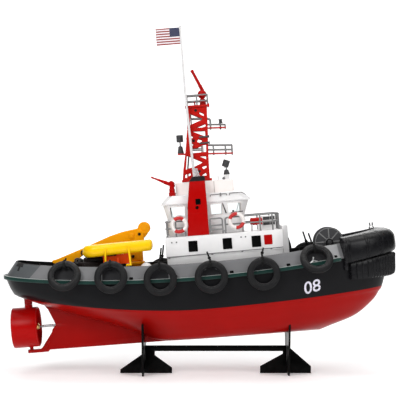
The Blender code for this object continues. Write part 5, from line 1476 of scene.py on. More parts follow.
for y in (-10.0, 0.0, 10.0):
    for z0, z1 in LOUVRES:
        back = plate(rounded([(y - 4.2, z0), (y + 4.2, z0), (y + 4.2, z1), (y - 4.2, z1)], 0.5), "x", 138.7, 139.4,
                     edge=0.2)
        slats.append(paint(back, FINISH["gear_black"]))
        for k in range(4):
            z = z0 + 0.9 + (z1 - z0 - 1.4) * k / 3.3
            slat = block((-0.2, 0.2), (y - 3.8, y + 3.8), (-0.85, 0.85), 0.12, 2)
            slat.data.transform(Matrix.Translation((139.6, 0, z)) @ Matrix.Rotation(math.radians(-35), 4, "Y"))
            slats.append(paint(slat, FINISH["gear_grey"]))
house_parts = [house] + panels + slats
finish(house_parts, "deckhouse_moulding", nodes=["deckhouse"])

# %% [markdown]
# ## Rails
# Handrails are round wire with rounded bends. Each is drawn as a line of points whose corners
# are eased, given a round bevel and made a mesh. Small feet show where the wire meets the roof.

# %% Roof rails
RAIL_Y, RAIL_Z, RAIL_MID_Z, BOW_RAIL = 46.5, 197.0, 185.0, 142.5
FOOT = HOUSE_TOP + GAP
lines = []
for y in (-RAIL_Y, RAIL_Y):
    lines += [
        [(31.5, y, FOOT), (31.5, y, 196.0), (51.5, y, 196.0), (51.5, y, FOOT)],
        [(31.5, y, RAIL_MID_Z), (51.5, y, RAIL_MID_Z)], [(31.5, y, 178.0), (51.5, y, 178.0)],
        [(51.5, y, 175.0), (56.0, y, 175.0)],
        [(56.0, y, FOOT), (56.0, y, 195.5), (64.0, y, 196.2), (132.0, y, RAIL_Z)],
        [(56.0, y, RAIL_MID_Z), (132.0, y, RAIL_MID_Z)]]
    lines += [[(x, y, FOOT), (x, y, RAIL_Z - 0.6)] for x in (84.0, 112.0, 132.0)]
for z in (RAIL_Z, RAIL_MID_Z):
    lines.append([(132.0, -RAIL_Y, z), (BOW_RAIL, -39.0, z), (BOW_RAIL, 39.0, z), (132.0, RAIL_Y, z)])
lines += [[(BOW_RAIL, y, FOOT), (BOW_RAIL, y, RAIL_Z)] for y in (-39.0, -13.0, 13.0, 39.0)]


def feet(spots, size=1.9, high=1.0):
    """Small round flanges under posts."""
    return [lathe([(0, 0), (0, size), (high * 0.6, size), (high, size * 0.7), (high, 0)], "z", spot, 14)
            for spot in spots]


spots = [(x, y, FOOT) for y in (-RAIL_Y, RAIL_Y) for x in (31.5, 51.5, 56.0, 84.0, 112.0, 132.0)]
spots += [(BOW_RAIL, y, FOOT) for y in (-39.0, -13.0, 13.0, 39.0)]
finish([paint(p, FINISH["rail_paint"]) for p in [bars(lines, 1.3, reach=4.0)] + feet(spots)], "roof_rail_fore",
       nodes=["deckhouse_rail_fore"], smooth=50)

lines = [[(-9.0, -RAIL_Y, z), (-40.0, -RAIL_Y, z), (-40.0, RAIL_Y, z), (-9.0, RAIL_Y, z)] for z in (195.5, 184.5)]
spots = [(x, y, FOOT) for x in (-9.0, -24.0, -38.5) for y in (-RAIL_Y, RAIL_Y)] + [(-40.0, 0.0, FOOT)]
lines += [[spot, (spot[0], spot[1], 195.5)] for spot in spots]
finish([paint(p, FINISH["rail_paint"]) for p in [bars(lines, 1.3, reach=3.0)] + feet(spots)], "roof_rail_aft",
       nodes=["deckhouse_rail_aft"], smooth=50)

# %% [markdown]
# ## Wheelhouse and its roof
# The wheelhouse flares outwards above the sills, so that its windows look down and shed rain.
# Its walls keep the solid's form with bevelled edges. Thin frames, a wiper and handrails are
# added, and the glass liner in the frame is kept and only gets a glass finish.

# %% Wheelhouse
WINDOW_LOW, WINDOW_TOP = 201.5, 219.0
SIDE_WINDOWS = ((-31.0, -8.0), (-3.0, 29.0), (35.0, 53.0), (63.0, 83.0))
walls = paint(node_copy("wheelhouse", 0.5, 2), FINISH["white"])


def wall_y(z):
    """Half breadth of the wheelhouse at a height."""
    return 27.0 + 4.0 * max(0.0, z - 195.0) / 27.25


cabin = [walls]
# Window frames are bars in the white with painted shade.
for low, high in SIDE_WINDOWS:
    corners = [(low, WINDOW_LOW), (high, WINDOW_LOW), (high + 1.0, WINDOW_TOP), (low - 1.0, WINDOW_TOP)]
    line = [(x, -wall_y(z) + 0.2, z) for x, z in corners]
    cabin += on_both_sides(paint(bars([line + line[:2]], 0.55, reach=2.0, sides=2), FINISH["white_painted_shade"]))
wiper = bars([[(59.1, -wall_y(203.0) - 1.0, 203.0), (56.4, -wall_y(212.0) - 1.0, 212.0),
               (54.1, -wall_y(219.0) - 1.0, 220.0)]], 1.0, reach=0, taper=0.7)
cabin += on_both_sides(paint(wiper, FINISH["gear_brown"]))
shelf = bars([[(76.5, -RAIL_Y + 8, 203.4), (86.0, -RAIL_Y + 8, 204.4)], [(71.5, -wall_y(206) - 0.6, 202.0),
              (71.5, -wall_y(206) - 0.6, 207.0)]], 0.8, reach=0)
cabin += on_both_sides(paint(shelf, FINISH["gear_black"]))
door = plate(rounded([(-6.0, 174.5), (6.0, 174.5), (6.0, 198.0), (-6.0, 198.0)], 1.5), "x", -37.0, -35.6, edge=0.3)
handle = block((-37.9, -36.8), (3.2, 4.2), (184.0, 189.0), 0.3)
cabin += [paint(door, FINISH["white_painted_shade"]), paint(handle, FINISH["gear_black"])]
finish(cabin, "wheelhouse_walls", nodes=["wheelhouse"], smooth=30)

# %% Glass
glass = bpy.data.materials.new("window_glass")
glass.use_nodes = True
shader = glass.node_tree.nodes["Principled BSDF"]
smear = node(glass.node_tree, "ShaderNodeTexNoise", in_Scale=60.0, in_Detail=3.0)
range_ = node(glass.node_tree, "ShaderNodeMapRange", in_3=0.02, in_4=0.14)
wire(glass.node_tree, (node(glass.node_tree, "ShaderNodeTexCoord").outputs["Object"], smear.inputs["Vector"]),
     (smear.outputs["Fac"], range_.inputs[0]), (range_.outputs[0], shader.inputs["Roughness"]))
shader.inputs["Base Color"].default_value = (0.93, 0.96, 0.96, 1.0)
shader.inputs["Transmission Weight"].default_value = 1.0
shader.inputs["IOR"].default_value = 1.12
paint(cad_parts["wheelhouse_glass"], glass)

# %% Roof and casing
ROOF_TOP, CASING_TOP = 237.0, 258.0
roof = [paint(node_copy("wheelhouse_roof", 0.9, 3), FINISH["white"], FINISH["white_painted_shade"])]
to_boat = ON_STAND.inverted()
# The casing's sides, below its top, are repainted a darker white as painted shade, while the top stays white; the block
# after it lengthens the casing forward in the same painted shade.
repaint(roof[0], 1, lambda c, n: ROOF_TOP + 1.5 < (to_boat @ c).z < CASING_TOP - 0.3)
roof.append(paint(block((69.0, 75.2), (-17.8, 17.8), (ROOF_TOP + 1.2, CASING_TOP - 0.4), 1.2), FINISH["white_painted_shade"]))
ROOF_SIDE = -34.0
lines = [[(35.5, ROOF_SIDE, 231.6), (35.5, ROOF_SIDE, 234.6), (62.0, ROOF_SIDE, 234.6), (62.0, ROOF_SIDE, 231.6)],
         [(66.5, ROOF_SIDE, 231.6), (66.5, ROOF_SIDE, 235.0), (86.0, ROOF_SIDE, 235.0), (93.0, ROOF_SIDE, 231.0)]]
roof += on_both_sides(paint(bars(lines, 0.7, reach=1.5, sides=3), FINISH["rail_paint"]))
lines = [[(52.0, ROOF_SIDE, 231.0), (52.0, ROOF_SIDE, 236.5)]]
roof += on_both_sides(paint(bars(lines, 1.2, reach=0), FINISH["rail_paint"]))
roof += on_both_sides(paint(bars([[(43.1, -18.5, 238.0), (43.1, -18.5, 257.5)]], 0.6, reach=0), FINISH["staff_grey"]))
roof.append(paint(bars([[(50.6, -8.0, CASING_TOP - 1), (50.6, -8.0, 265.0)]], 0.8, reach=0), FINISH["staff_grey"]))
roof.append(paint(lathe([(-1.0, 0), (-1.0, 1.2), (0, 1.2), (0.6, 2.4), (3.2, 2.4), (4.2, 1.0), (4.4, 0)], "z",
                        (59.6, -8.0, CASING_TOP), 20), FINISH["ledge_grey"]))
finish(roof, "wheelhouse_top", nodes=["wheelhouse_roof"])

# %% Liferaft canister
RAFT_R, RAFT_Z = 6.0, 185.8
half_can = [(-9.9, 0), (-9.9, 0.7), (-9.5, 0.88), (-8.4, 1.0), (-0.8, 1.0), (-0.5, 1.07)]
can_profile = [(107.0 + a, RAFT_R * r) for a, r in half_can] + [(107.0 - a, RAFT_R * r) for a, r in half_can[::-1]]
can = paint(lathe(can_profile, "x", (0, -20.0, RAFT_Z), 40), FINISH["signal_red"])
bands = [paint(lathe([(x - 0.9, RAFT_R - 0.1), (x - 0.9, RAFT_R + 0.3), (x + 0.9, RAFT_R + 0.3), (x + 0.9, RAFT_R - 0.1)],
                     "x", (0, -20.0, RAFT_Z), 40), FINISH["signal_red"]) for x in (99.5, 110.5)]
feet_parts = [paint(block((x - 1.5, x + 1.5), (-24, -16), (FOOT, 184.0), 0.4), FINISH["white"]) for x in (99.5, 110.5)]
finish([can] + bands + feet_parts, "liferaft", nodes=["liferaft_canister"])

# %% [markdown]
# ## Funnels
# Each funnel is a tapered red casing with a black cap and three silver exhaust pipes that lean
# aft. The casing is a skin over rectangles that shrink upwards.

# %% Funnels
FUNNEL_LEVELS = (
    # z, aft x, fore x, outer y, inner y
    (170.85, -6.0, 29.0, 49.0, 36.0), (196.0, -4.1, 29.0, 48.5, 36.0), (221.0, -2.2, 29.0, 48.0, 36.0),
    (240.0, 0.3, 28.7, 47.2, 36.2), (258.0, 3.0, 28.5, 46.5, 36.5),
)
CAP_LEVELS = ((258.0, 2.8, 28.8, 46.8, 36.2), (259.0, 3.2, 28.9, 46.9, 36.1), (265.2, 7.6, 28.6, 46.2, 36.8),
              (265.8, 8.3, 28.0, 45.6, 37.4))


def tapered(levels, corner):
    rows = []
    for z, x0, x1, out, inn in levels:
        ring = rounded([(x0, inn), (x1, inn), (x1, out), (x0, out)], corner, 4)
        rows.append([(x, y, z) for x, y in ring + ring[:1]])
    return skin(rows, caps=True)


for side, name in ((1, "port"), (-1, "starboard")):
    casing = paint(tapered(FUNNEL_LEVELS, 1.6), FINISH["signal_red"])
    cap = paint(tapered(CAP_LEVELS, 1.8), FINISH["gear_black"])
    lines = [[(x, 42.0, 262.0), (x - 4.6, 42.0, 278.8)] for x in (15.5, 18.2, 20.9)]
    pipes = paint(bars(lines, 1.15, reach=0, sides=6), FINISH["pipe_silver"])
    mouths = []
    for line in lines:
        way = (Vector(line[1]) - Vector(line[0])).normalized()
        turn = way.to_track_quat("Z", "Y").to_matrix().to_4x4()
        mouth = lathe([(-0.1, 0), (-0.1, 0.85), (0.08, 0.85), (0.08, 0)], "z", (0, 0, 0), 16)
        mouth.data.transform(Matrix.Translation(line[1]) @ turn)
        mouths.append(paint(mouth, FINISH["gear_black"]))
    grille = plate(rounded([(10.6, 220.0), (19.0, 220.0), (19.0, 229.6), (10.6, 229.6)], 1.6), "y", 47.4, 48.4, edge=0.3)
    plug = lathe([(0, 0), (0, 2.8), (0.5, 2.6), (0.5, 0)], "y", (12.6, 47.9, 215.4), 24)
    seam = bars([[(-3.4, 48.2, 206.0), (28.8, 48.2, 206.0)]], 0.25, reach=0, sides=1)
    group_parts = [casing, cap, pipes, paint(grille, FINISH["window_black"]), paint(plug, FINISH["window_black"]),
                   paint(seam, FINISH["signal_red"])] + mouths
    if side < 0:
        for part in group_parts:
            part.data.transform(MIRROR)
            part.data.flip_normals()
    finish(group_parts, f"funnel_casing_{name}", nodes=[f"funnel_{name}"])

# %% [markdown]
# ## Lifebuoys
# A lifebuoy is a ring with four bands and a grab line. Here the ring is turned, the bands are
# the same faces painted red, and the line is a thin cord that hangs between the bands.

# %% Lifebuoys
LIFE_R, LIFE_TUBE = 11.0, 2.9
profile = [(LIFE_TUBE * math.cos(math.radians(a)), LIFE_R + LIFE_TUBE * math.sin(math.radians(a)))
           for a in range(0, 360, 24)]
for place, x, tilt in (("aft", -18.4, 0.0), ("fore", 74.4, 32.0)):
    for side, name in ((1, "port"), (-1, "starboard")):
        y = side * (RAIL_Y + 1.2 + LIFE_TUBE)
        ring = lathe(profile, "y", (0, 0, 0), 64)
        paint(ring, FINISH["buoy_white"], FINISH["buoy_red"])
        for face in ring.data.polygons:
            angle = math.degrees(math.atan2(face.center.x, face.center.z)) % 180
            if angle < 41 or angle > 139:
                face.material_index = 1
        line = []
        for i in range(73):
            a = math.radians(5 * i)
            r = LIFE_R + LIFE_TUBE + 0.25 + 0.5 * abs(math.sin(2 * a))
            line.append((r * math.sin(a), 0.0, r * math.cos(a)))
        cord_ring = paint(bars([line], 0.3, reach=0, sides=1), FINISH["rope_black"])
        for part in (ring, cord_ring):
            part.data.transform(Matrix.Translation((x, y, 189.8)) @ Matrix.Rotation(math.radians(-tilt), 4, "Y"))
        paint(cord_ring, FINISH["buoy_white"])
        finish([ring, cord_ring], f"buoy_{place}_{name}", nodes=[f"lifebuoy_{place}_{name}"], smooth=60)
print("superstructure done")

# %% [markdown]
# ## Mast
# The mast is a tower of two side frames with cross bars and three platforms. A side frame is one
# moulded plate with windows, which leave the zigzag of bars: a filled curve with holes makes it in
# one go. Both frames lean inwards. The grey rails, lamps, horns and cables are added round it.

# %% Tower
TOWER_LOW, TOWER_HIGH = CASING_TOP + GAP, 381.0
SIDE = [(10.3, 380.9), (7.3, 351.6), (3.4, 327.2), (-0.6, 302.7), (-5.4, 278.5), (-8.0, 259.0), (37.3, 259.0),
        (37.1, 275.3), (37.4, 291.7), (38.3, 316.4), (39.7, 340.9), (40.4, 365.5), (41.1, 380.9)]
WINDOWS = (
    [(27.3, 369.9), (28.7, 372.0), (34.9, 368.8), (35.1, 364.5), (30.6, 366.4)],
    [(12.6, 369.8), (29.8, 361.6), (32.0, 360.9), (31.5, 358.8), (11.2, 351.4)],
    [(19.2, 345.9), (36.2, 351.6), (36.9, 347.6), (29.0, 345.2)],
    [(12.9, 341.0), (34.9, 340.2), (34.9, 331.4), (31.0, 332.5)],
    [(10.6, 334.2), (15.0, 331.9), (13.1, 329.5), (10.4, 329.0)],
    [(20.9, 324.7), (22.9, 327.7), (28.6, 325.4), (29.1, 323.4), (24.9, 321.2), (21.0, 322.5)],
    [(10.8, 321.8), (14.1, 319.2), (13.1, 317.4), (10.4, 317.2)],
    [(10.2, 312.0), (19.9, 312.9), (30.6, 317.4), (35.0, 317.6), (34.3, 305.4), (9.4, 304.8)],
    [(22.2, 299.1), (33.4, 298.8), (33.6, 293.2)],
    [(1.9, 301.4), (6.9, 299.4), (11.6, 296.9), (27.8, 288.6), (11.9, 282.0), (3.2, 280.2), (-1.4, 278.2)],
    [(25.4, 280.6), (27.1, 282.1), (33.1, 283.1), (33.1, 279.8), (27.8, 277.3)],
    [(23.6, 267.2), (31.3, 271.5), (32.6, 266.6)],
    [(-3.4, 269.9), (0.6, 272.2), (0.2, 265.4), (-3.5, 265.3)],
    [(2.1, 271.4), (5.6, 272.8), (6.4, 269.0), (2.1, 267.2)])
SCREWS = ((21.9, 374.6), (14.9, 325.1), (20.8, 274.3))


def tower_x(z):
    """Aft and fore edges of the tower's side frames."""
    t = (z - TOWER_LOW) / (TOWER_HIGH - TOWER_LOW)
    return -7.0 + 17.0 * t, 36.0 + 5.0 * t


def tower_half(z):
    """Half the tower's width at a height."""
    t = (z - TOWER_LOW) / (TOWER_HIGH - TOWER_LOW)
    return 15.0 - 6.5 * t


def sloped(item, about, fall):
    """Shears a deck or a rail downwards towards the bow; its posts stay upright."""
    item.data.transform(Matrix(((1, 0, 0, 0), (0, 1, 0, 0), (-fall, 0, 1, fall * about), (0, 0, 0, 1))))
    return item


side_frame = plate(SIDE, "y", -0.9, 0.9, edge=0.3, holes=[rounded(w, 0.3, 2) for w in WINDOWS])
screws = [lathe([(-1.3, 0), (-1.3, 1.9), (-1.0, 2.4), (1.0, 2.4), (1.3, 1.9), (1.3, 0)], "y", (x, 0.0, z), 24)
          for x, z in SCREWS]
for part in [side_frame] + screws:
    for vertex in part.data.vertices:
        vertex.co.y -= tower_half(vertex.co.z)
tower = on_both_sides(paint(side_frame, FINISH["mast_red"]))
for screw in screws:
    tower += on_both_sides(paint(screw, FINISH["gear_black"]))
MID_FALL, UPPER_FALL = 0.05, 0.035
decks = [block((-9.0, 40.5), (-17.0, 17.0), (TOWER_LOW, 261.9), 0.5),
         block((4.7, 43.5), (-12.0, 12.0), (380.0, 383.2), 0.6),
         sloped(block((9.0, 70.2), (-9.5, 9.5), (343.6, 345.6), 0.5), 38.0, UPPER_FALL),
         sloped(block((-12.8, 78.0), (-12.0, 12.0), (301.3, 303.4), 0.5), 38.0, MID_FALL),
         lathe([(382.0, 0), (382.0, 5.2), (387.2, 5.2), (388.0, 4.6), (388.0, 0)], "z", (34.9, 0, 0), 32)]
decks += on_both_sides(block((41.6, 45.3), (-12.3, -8.6), (379.6, 384.8), 1.2))
for z in (281.0, 329.0, 362.0):
    aft, fore = tower_x(z)
    half = tower_half(z)
    decks += [block((x - 1.2, x + 1.2), (-half, half), (z - 1.6, z + 1.6), 0.4) for x in (aft + 1.6, fore - 1.6)]
braces = []
for low, high in ((262.5, 280.0), (282.0, 301.0), (305.0, 328.0), (330.0, 344.0), (346.0, 361.0)):
    for edge in (0, 1):
        (x0, x1), (y0, y1) = (tower_x(low)[edge], tower_x(high)[edge]), (tower_half(low), tower_half(high))
        inward = 1.6 if edge == 0 else -1.6
        braces.append([(x0 + inward, -y0, low), (x1 + inward, y1, high)])
decks.append(bars(braces, 1.1, reach=0, sides=3))
tower += [paint(p, FINISH["mast_red"]) for p in decks]
cables = bars([[(5.3, 6.0, 301.5), (1.9, 6.0, 280.0), (0.8, 6.0, 262.0)]], 1.2, reach=4.0)
tower.append(paint(cables, FINISH["gear_grey"]))
inner_rails = bars([[(10.8, -6.0, 312.2), (29.0, -6.0, 311.0)], [(10.8, -6.0, 309.8), (29.0, -6.0, 308.6)],
                    [(13.3, -7.0, 345.5), (13.3, -7.0, 368.5)]], 1.0, reach=0)
tower.append(paint(inner_rails, FINISH["rail_paint"]))
tower.append(paint(bars([[(28.2, -5.0, 303.5), (28.2, -5.0, 315.5)]], 2.0, reach=0), FINISH["staff_grey"]))
for z in (320.1, 330.3):
    horn = lathe([(0, 0), (0, 1.3), (13.5, 1.4), (15.4, 2.0), (16.6, 2.7), (16.8, 2.9), (16.0, 1.6), (14.8, 0.9), (14.8, 0)],
                 "x", (24.4, -13.6, z), 20)
    clamp = block((34.0, 36.0), (-13.6, -11.0), (z - 1.5, z + 1.5), 0.3)
    tower += [paint(horn, FINISH["gear_grey"]), paint(clamp, FINISH["gear_grey"])]
finish(tower, "mast_lattice", nodes=["mast_tower"], smooth=25)

# %% Platform rails and lamps
RAIL_R = 1.15


def platform_rail(x0, x1, half, foot, heights, posts, closed):
    """A guard rail round three or four sides of a platform, with a pair of posts at each place."""
    lines = []
    for z in heights:
        line = [(x0, -half, z), (x1, -half, z), (x1, half, z), (x0, half, z)]
        lines.append(line + ([(x0, -half, z)] if closed else []))
    for x in posts:
        lines += [[(x, y, foot), (x, y, heights[0])] for y in (-half, half)]
    return paint(bars(lines, RAIL_R, reach=2.5, sides=3), FINISH["rail_paint"])


def lamp(spot, wide, high):
    """A small lantern: foot, ribbed glass and a cap."""
    profile = [(0, 0), (0, wide), (1.0, wide), (1.2, wide * 0.8)]
    profile += [(1.4 + (high - 3.0) * k / 8, wide * (0.78 if k % 2 else 0.7)) for k in range(9)]
    profile += [(high - 1.4, wide), (high - 0.6, wide), (high, wide * 0.3), (high, 0)]
    return lathe(profile, "z", spot, 20)


top_rail = platform_rail(9.0, 42.8, 11.0, 383.2 + GAP, (399.6, 389.9), (9.0, 25.0, 42.8), True)
finish(top_rail, "top_platform_rail", nodes=["mast_rail_top"], smooth=50)
mid_rail = sloped(platform_rail(36.0, 77.2, 10.6, 300.4, (316.6, 309.0), (46.6, 66.5, 77.2), False), 38.0, 0.065)
finish(mid_rail, "mid_platform_rail", nodes=["mast_rail_mid"], smooth=50)
hoop, edge_rail = [], []
for y in (-7.0, 7.0):
    hoop.append([(13.3, y, 361.6), (36.0, y, 360.6), (45.0, y, 359.6), (44.4, y, 342.0)])
for y in (-8.5, 8.5):
    edge_rail += [[(39.0, y, 350.6), (68.9, y, 348.4), (68.7, y, 341.4)]]
edge_rail.append([(68.9, -8.5, 348.4), (68.9, 8.5, 348.4)])
lights = [paint(bars(hoop, 1.5, reach=5.0, sides=4), FINISH["rail_paint"]),
          paint(bars(edge_rail, 0.95, reach=1.5, sides=3), FINISH["rail_paint"]),
          paint(bars([[(60.8, -3.0, 340.6), (60.8, -3.0, 352.0)]], 1.2, reach=0, sides=3), FINISH["gear_grey"]),
          paint(lamp((61.6, -3.0, 350.8), 3.6, 7.2), FINISH["gear_grey"]),
          paint(bars([[(21.4, 4.0, 383.2), (21.4, 4.0, 390.6)]], 1.2, reach=0, sides=3), FINISH["mast_red"])]
finish(lights, "mast_lanterns", smooth=50)

# %% [markdown]
# ## Staff and flag
# The flag is plain cloth on a white staff: stripes and a canton, with no stars. Cloth is never
# flat, so the sheet has a slow wave that grows towards its free end. The stripes and the canton
# follow the sheet's own UV map, and so does the weave.

# %% Staff
STAFF_FOOT, STAFF_TOP = 12.3, 6.9
staff = bars([[(STAFF_FOOT, -20.0, CASING_TOP + GAP), (11.0, -20.0, 281.0), (9.0, -20.0, 348.0), (7.3, -20.0, 390.0),
               (STAFF_TOP, -20.0, 440.0), (STAFF_TOP, -20.0, 512.5)]], 2.35, reach=22.0, sides=5, taper=0.72)
truck = lathe(bulge(2.1, 8), "z", (STAFF_TOP, -20.0, 513.0), 20)
socket = lathe([(0, 0), (0, 3.2), (3.4, 3.2), (4.0, 2.4), (4.0, 0)], "z", (STAFF_FOOT, -20.0, CASING_TOP + GAP), 24)
clips = [lathe([(-0.8, 1.0), (-0.8, 2.1), (0.8, 2.1), (0.8, 1.0)], "z", (STAFF_TOP, -20.0, z), 16)
         for z in (485.5, 509.5)]
finish([paint(p, FINISH["staff_white"]) for p in [staff, truck, socket] + clips], "flagstaff",
       nodes=["flagpole"])

# %% Flag
FLAG_LONG, FLAG_HIGH, HOIST_X = 41.5, 27.2, 8.1
columns, rows_ = 48, 30
flag_rows = []
for r in range(rows_ + 1):
    v = r / rows_
    row = []
    for c in range(columns + 1):
        u = c / columns
        hoist_x = HOIST_X - 0.4 * v
        wave = 0.9 * u * math.sin(5.6 * u + 0.9 * v)
        row.append((hoist_x - FLAG_LONG * u, -20.0 + wave, 484.0 + FLAG_HIGH * v + 0.3 * u - 0.6 * u * u))
    flag_rows.append(row)
flag = skin(flag_rows)
uv = flag.data.uv_layers.new(name="cloth") if not flag.data.uv_layers else flag.data.uv_layers[0]
uv.name = "cloth"
for loop in flag.data.loops:
    p = flag.data.vertices[loop.vertex_index].co
    uv.data[loop.index].uv = ((HOIST_X - p.x) / FLAG_LONG, (p.z - 484.0) / FLAG_HIGH)
thick = flag.modifiers.new("thickness", "SOLIDIFY")
thick.thickness = 0.25
thick.offset = 0.0
apply_all(flag)

cloth = bpy.data.materials.new("flag_cloth")
cloth.use_nodes = True
tree = cloth.node_tree
shader = tree.nodes["Principled BSDF"]
where = node(tree, "ShaderNodeUVMap", uv_map="cloth")
split = node(tree, "ShaderNodeSeparateXYZ")
thirteen = node(tree, "ShaderNodeMath", operation="MULTIPLY", in_1=13.0)
lower = node(tree, "ShaderNodeMath", operation="FLOOR")
halves = node(tree, "ShaderNodeMath", operation="MODULO", in_1=2.0)
stripe = node(tree, "ShaderNodeMath", operation="LESS_THAN", in_1=0.5)
hoistward = node(tree, "ShaderNodeMath", operation="LESS_THAN", in_1=0.46)
upper_half = node(tree, "ShaderNodeMath", operation="GREATER_THAN", in_1=6.0 / 13.0)
canton = node(tree, "ShaderNodeMath", operation="MULTIPLY")
warp = node(tree, "ShaderNodeTexWave", in_Scale=55.0, bands_direction="X")
weft = node(tree, "ShaderNodeTexWave", in_Scale=36.0, bands_direction="Y")
weave = node(tree, "ShaderNodeMath", operation="MULTIPLY")
relief = node(tree, "ShaderNodeBump", in_Strength=0.35, in_Distance=0.0002)
fade = node(tree, "ShaderNodeTexNoise", in_Scale=9.0, in_Detail=3.0)
wire(tree, (where.outputs[0], split.inputs[0]), (split.outputs["Y"], thirteen.inputs[0]),
     (thirteen.outputs[0], lower.inputs[0]), (lower.outputs[0], halves.inputs[0]), (halves.outputs[0], stripe.inputs[0]),
     (split.outputs["X"], hoistward.inputs[0]), (split.outputs["Y"], upper_half.inputs[0]),
     (hoistward.outputs[0], canton.inputs[0]), (upper_half.outputs[0], canton.inputs[1]),
     (where.outputs[0], warp.inputs["Vector"]), (where.outputs[0], weft.inputs["Vector"]),
     (where.outputs[0], fade.inputs["Vector"]),
     (warp.outputs["Fac"], weave.inputs[0]), (weft.outputs["Fac"], weave.inputs[1]),
     (weave.outputs[0], relief.inputs["Height"]), (relief.outputs[0], shader.inputs["Normal"]))
base = mixed(tree, stripe.outputs[0], (0.80, 0.77, 0.78), (0.25, 0.004, 0.003))
base = mixed(tree, canton.outputs[0], base, (0.018, 0.025, 0.07))
faded = mixed(tree, fade.outputs["Fac"], base, (0.6, 0.55, 0.55))
soft = node(tree, "ShaderNodeMix", data_type="RGBA", in_0=0.05)
wire(tree, (base, soft.inputs[6]), (faded, soft.inputs[7]), (soft.outputs[2], shader.inputs["Base Color"]))
shader.inputs["Roughness"].default_value = 0.8
shader.inputs["Sheen Weight"].default_value = 0.2
paint(flag, cloth)
finish(flag, "flag", smooth=60)
print("flag sewn")

# %% [markdown]
# ## Searchlights and fire monitors
# A searchlight is a can in a stirrup on a flared foot. A fire monitor is a water cannon: a
# round post with a fork, and a tapering barrel that lifts in it. Post and barrel ride on
# different bodies, because the post turns and the barrel also lifts.

# %% Searchlights


def searchlight(x, y, foot, lift, high, wide, pitch, name, node_name):
    base = lathe([(0, 0), (0, wide * 0.9), (lift * 0.06, wide * 0.92), (lift * 0.5, wide * 0.66), (lift * 0.62, wide * 0.6),
                  (lift * 0.66, wide * 0.3), (lift * 0.7, 1.0), (lift + 1.0, 1.0), (lift + 1.0, 0)], "z", (x, y, foot), 32)
    rings = [(-high / 2, 0), (-high / 2, wide * 0.9), (-high / 2 + 0.5, wide)]
    for k in range(1, 5):
        z = -high / 2 + high * k / 5
        rings += [(z - 0.35, wide), (z - 0.25, wide * 0.94), (z + 0.25, wide * 0.94), (z + 0.35, wide)]
    rings += [(high / 2 - 0.5, wide), (high / 2, wide * 0.9), (high / 2, wide * 0.8), (high / 2 - 0.8, wide * 0.78),
              (high / 2 - 0.8, 0)]
    can = lathe(rings, "z", (0, 0, 0), 36)
    lens = lathe([(high / 2 - 0.9, 0), (high / 2 - 0.9, wide * 0.76), (high / 2 - 0.4, wide * 0.5), (high / 2 - 0.2, 0)],
                 "z", (0, 0, 0), 28)
    stirrup = bars([[(0, -wide - 0.7, 0), (0, -wide - 0.7, -high / 2 - 1.2), (0, wide + 0.7, -high / 2 - 1.2),
                     (0, wide + 0.7, 0)]], 0.6, reach=2.0, sides=3)
    for part in (can, lens, stirrup):
        part.data.transform(Matrix.Translation((x, y, foot + lift + high * 0.5))
                            @ Matrix.Rotation(math.radians(pitch), 4, "Y"))
    finish([paint(base, FINISH["gear_grey"]), paint(can, FINISH["gear_grey"]), paint(lens, FINISH["pipe_silver"]),
            paint(stirrup, FINISH["gear_grey"])], name, nodes=[node_name], smooth=40)


searchlight(-7.6, 0.0, 305.2 + GAP, 19.3, 11.6, 5.7, 0.0, "lamp_mast", "searchlight_mast")
searchlight(65.3, 0.0, 265.7 + GAP, 12.4, 11.6, 5.7, 21.0, "lamp_roof", "searchlight_roof")

# %% Fire monitors


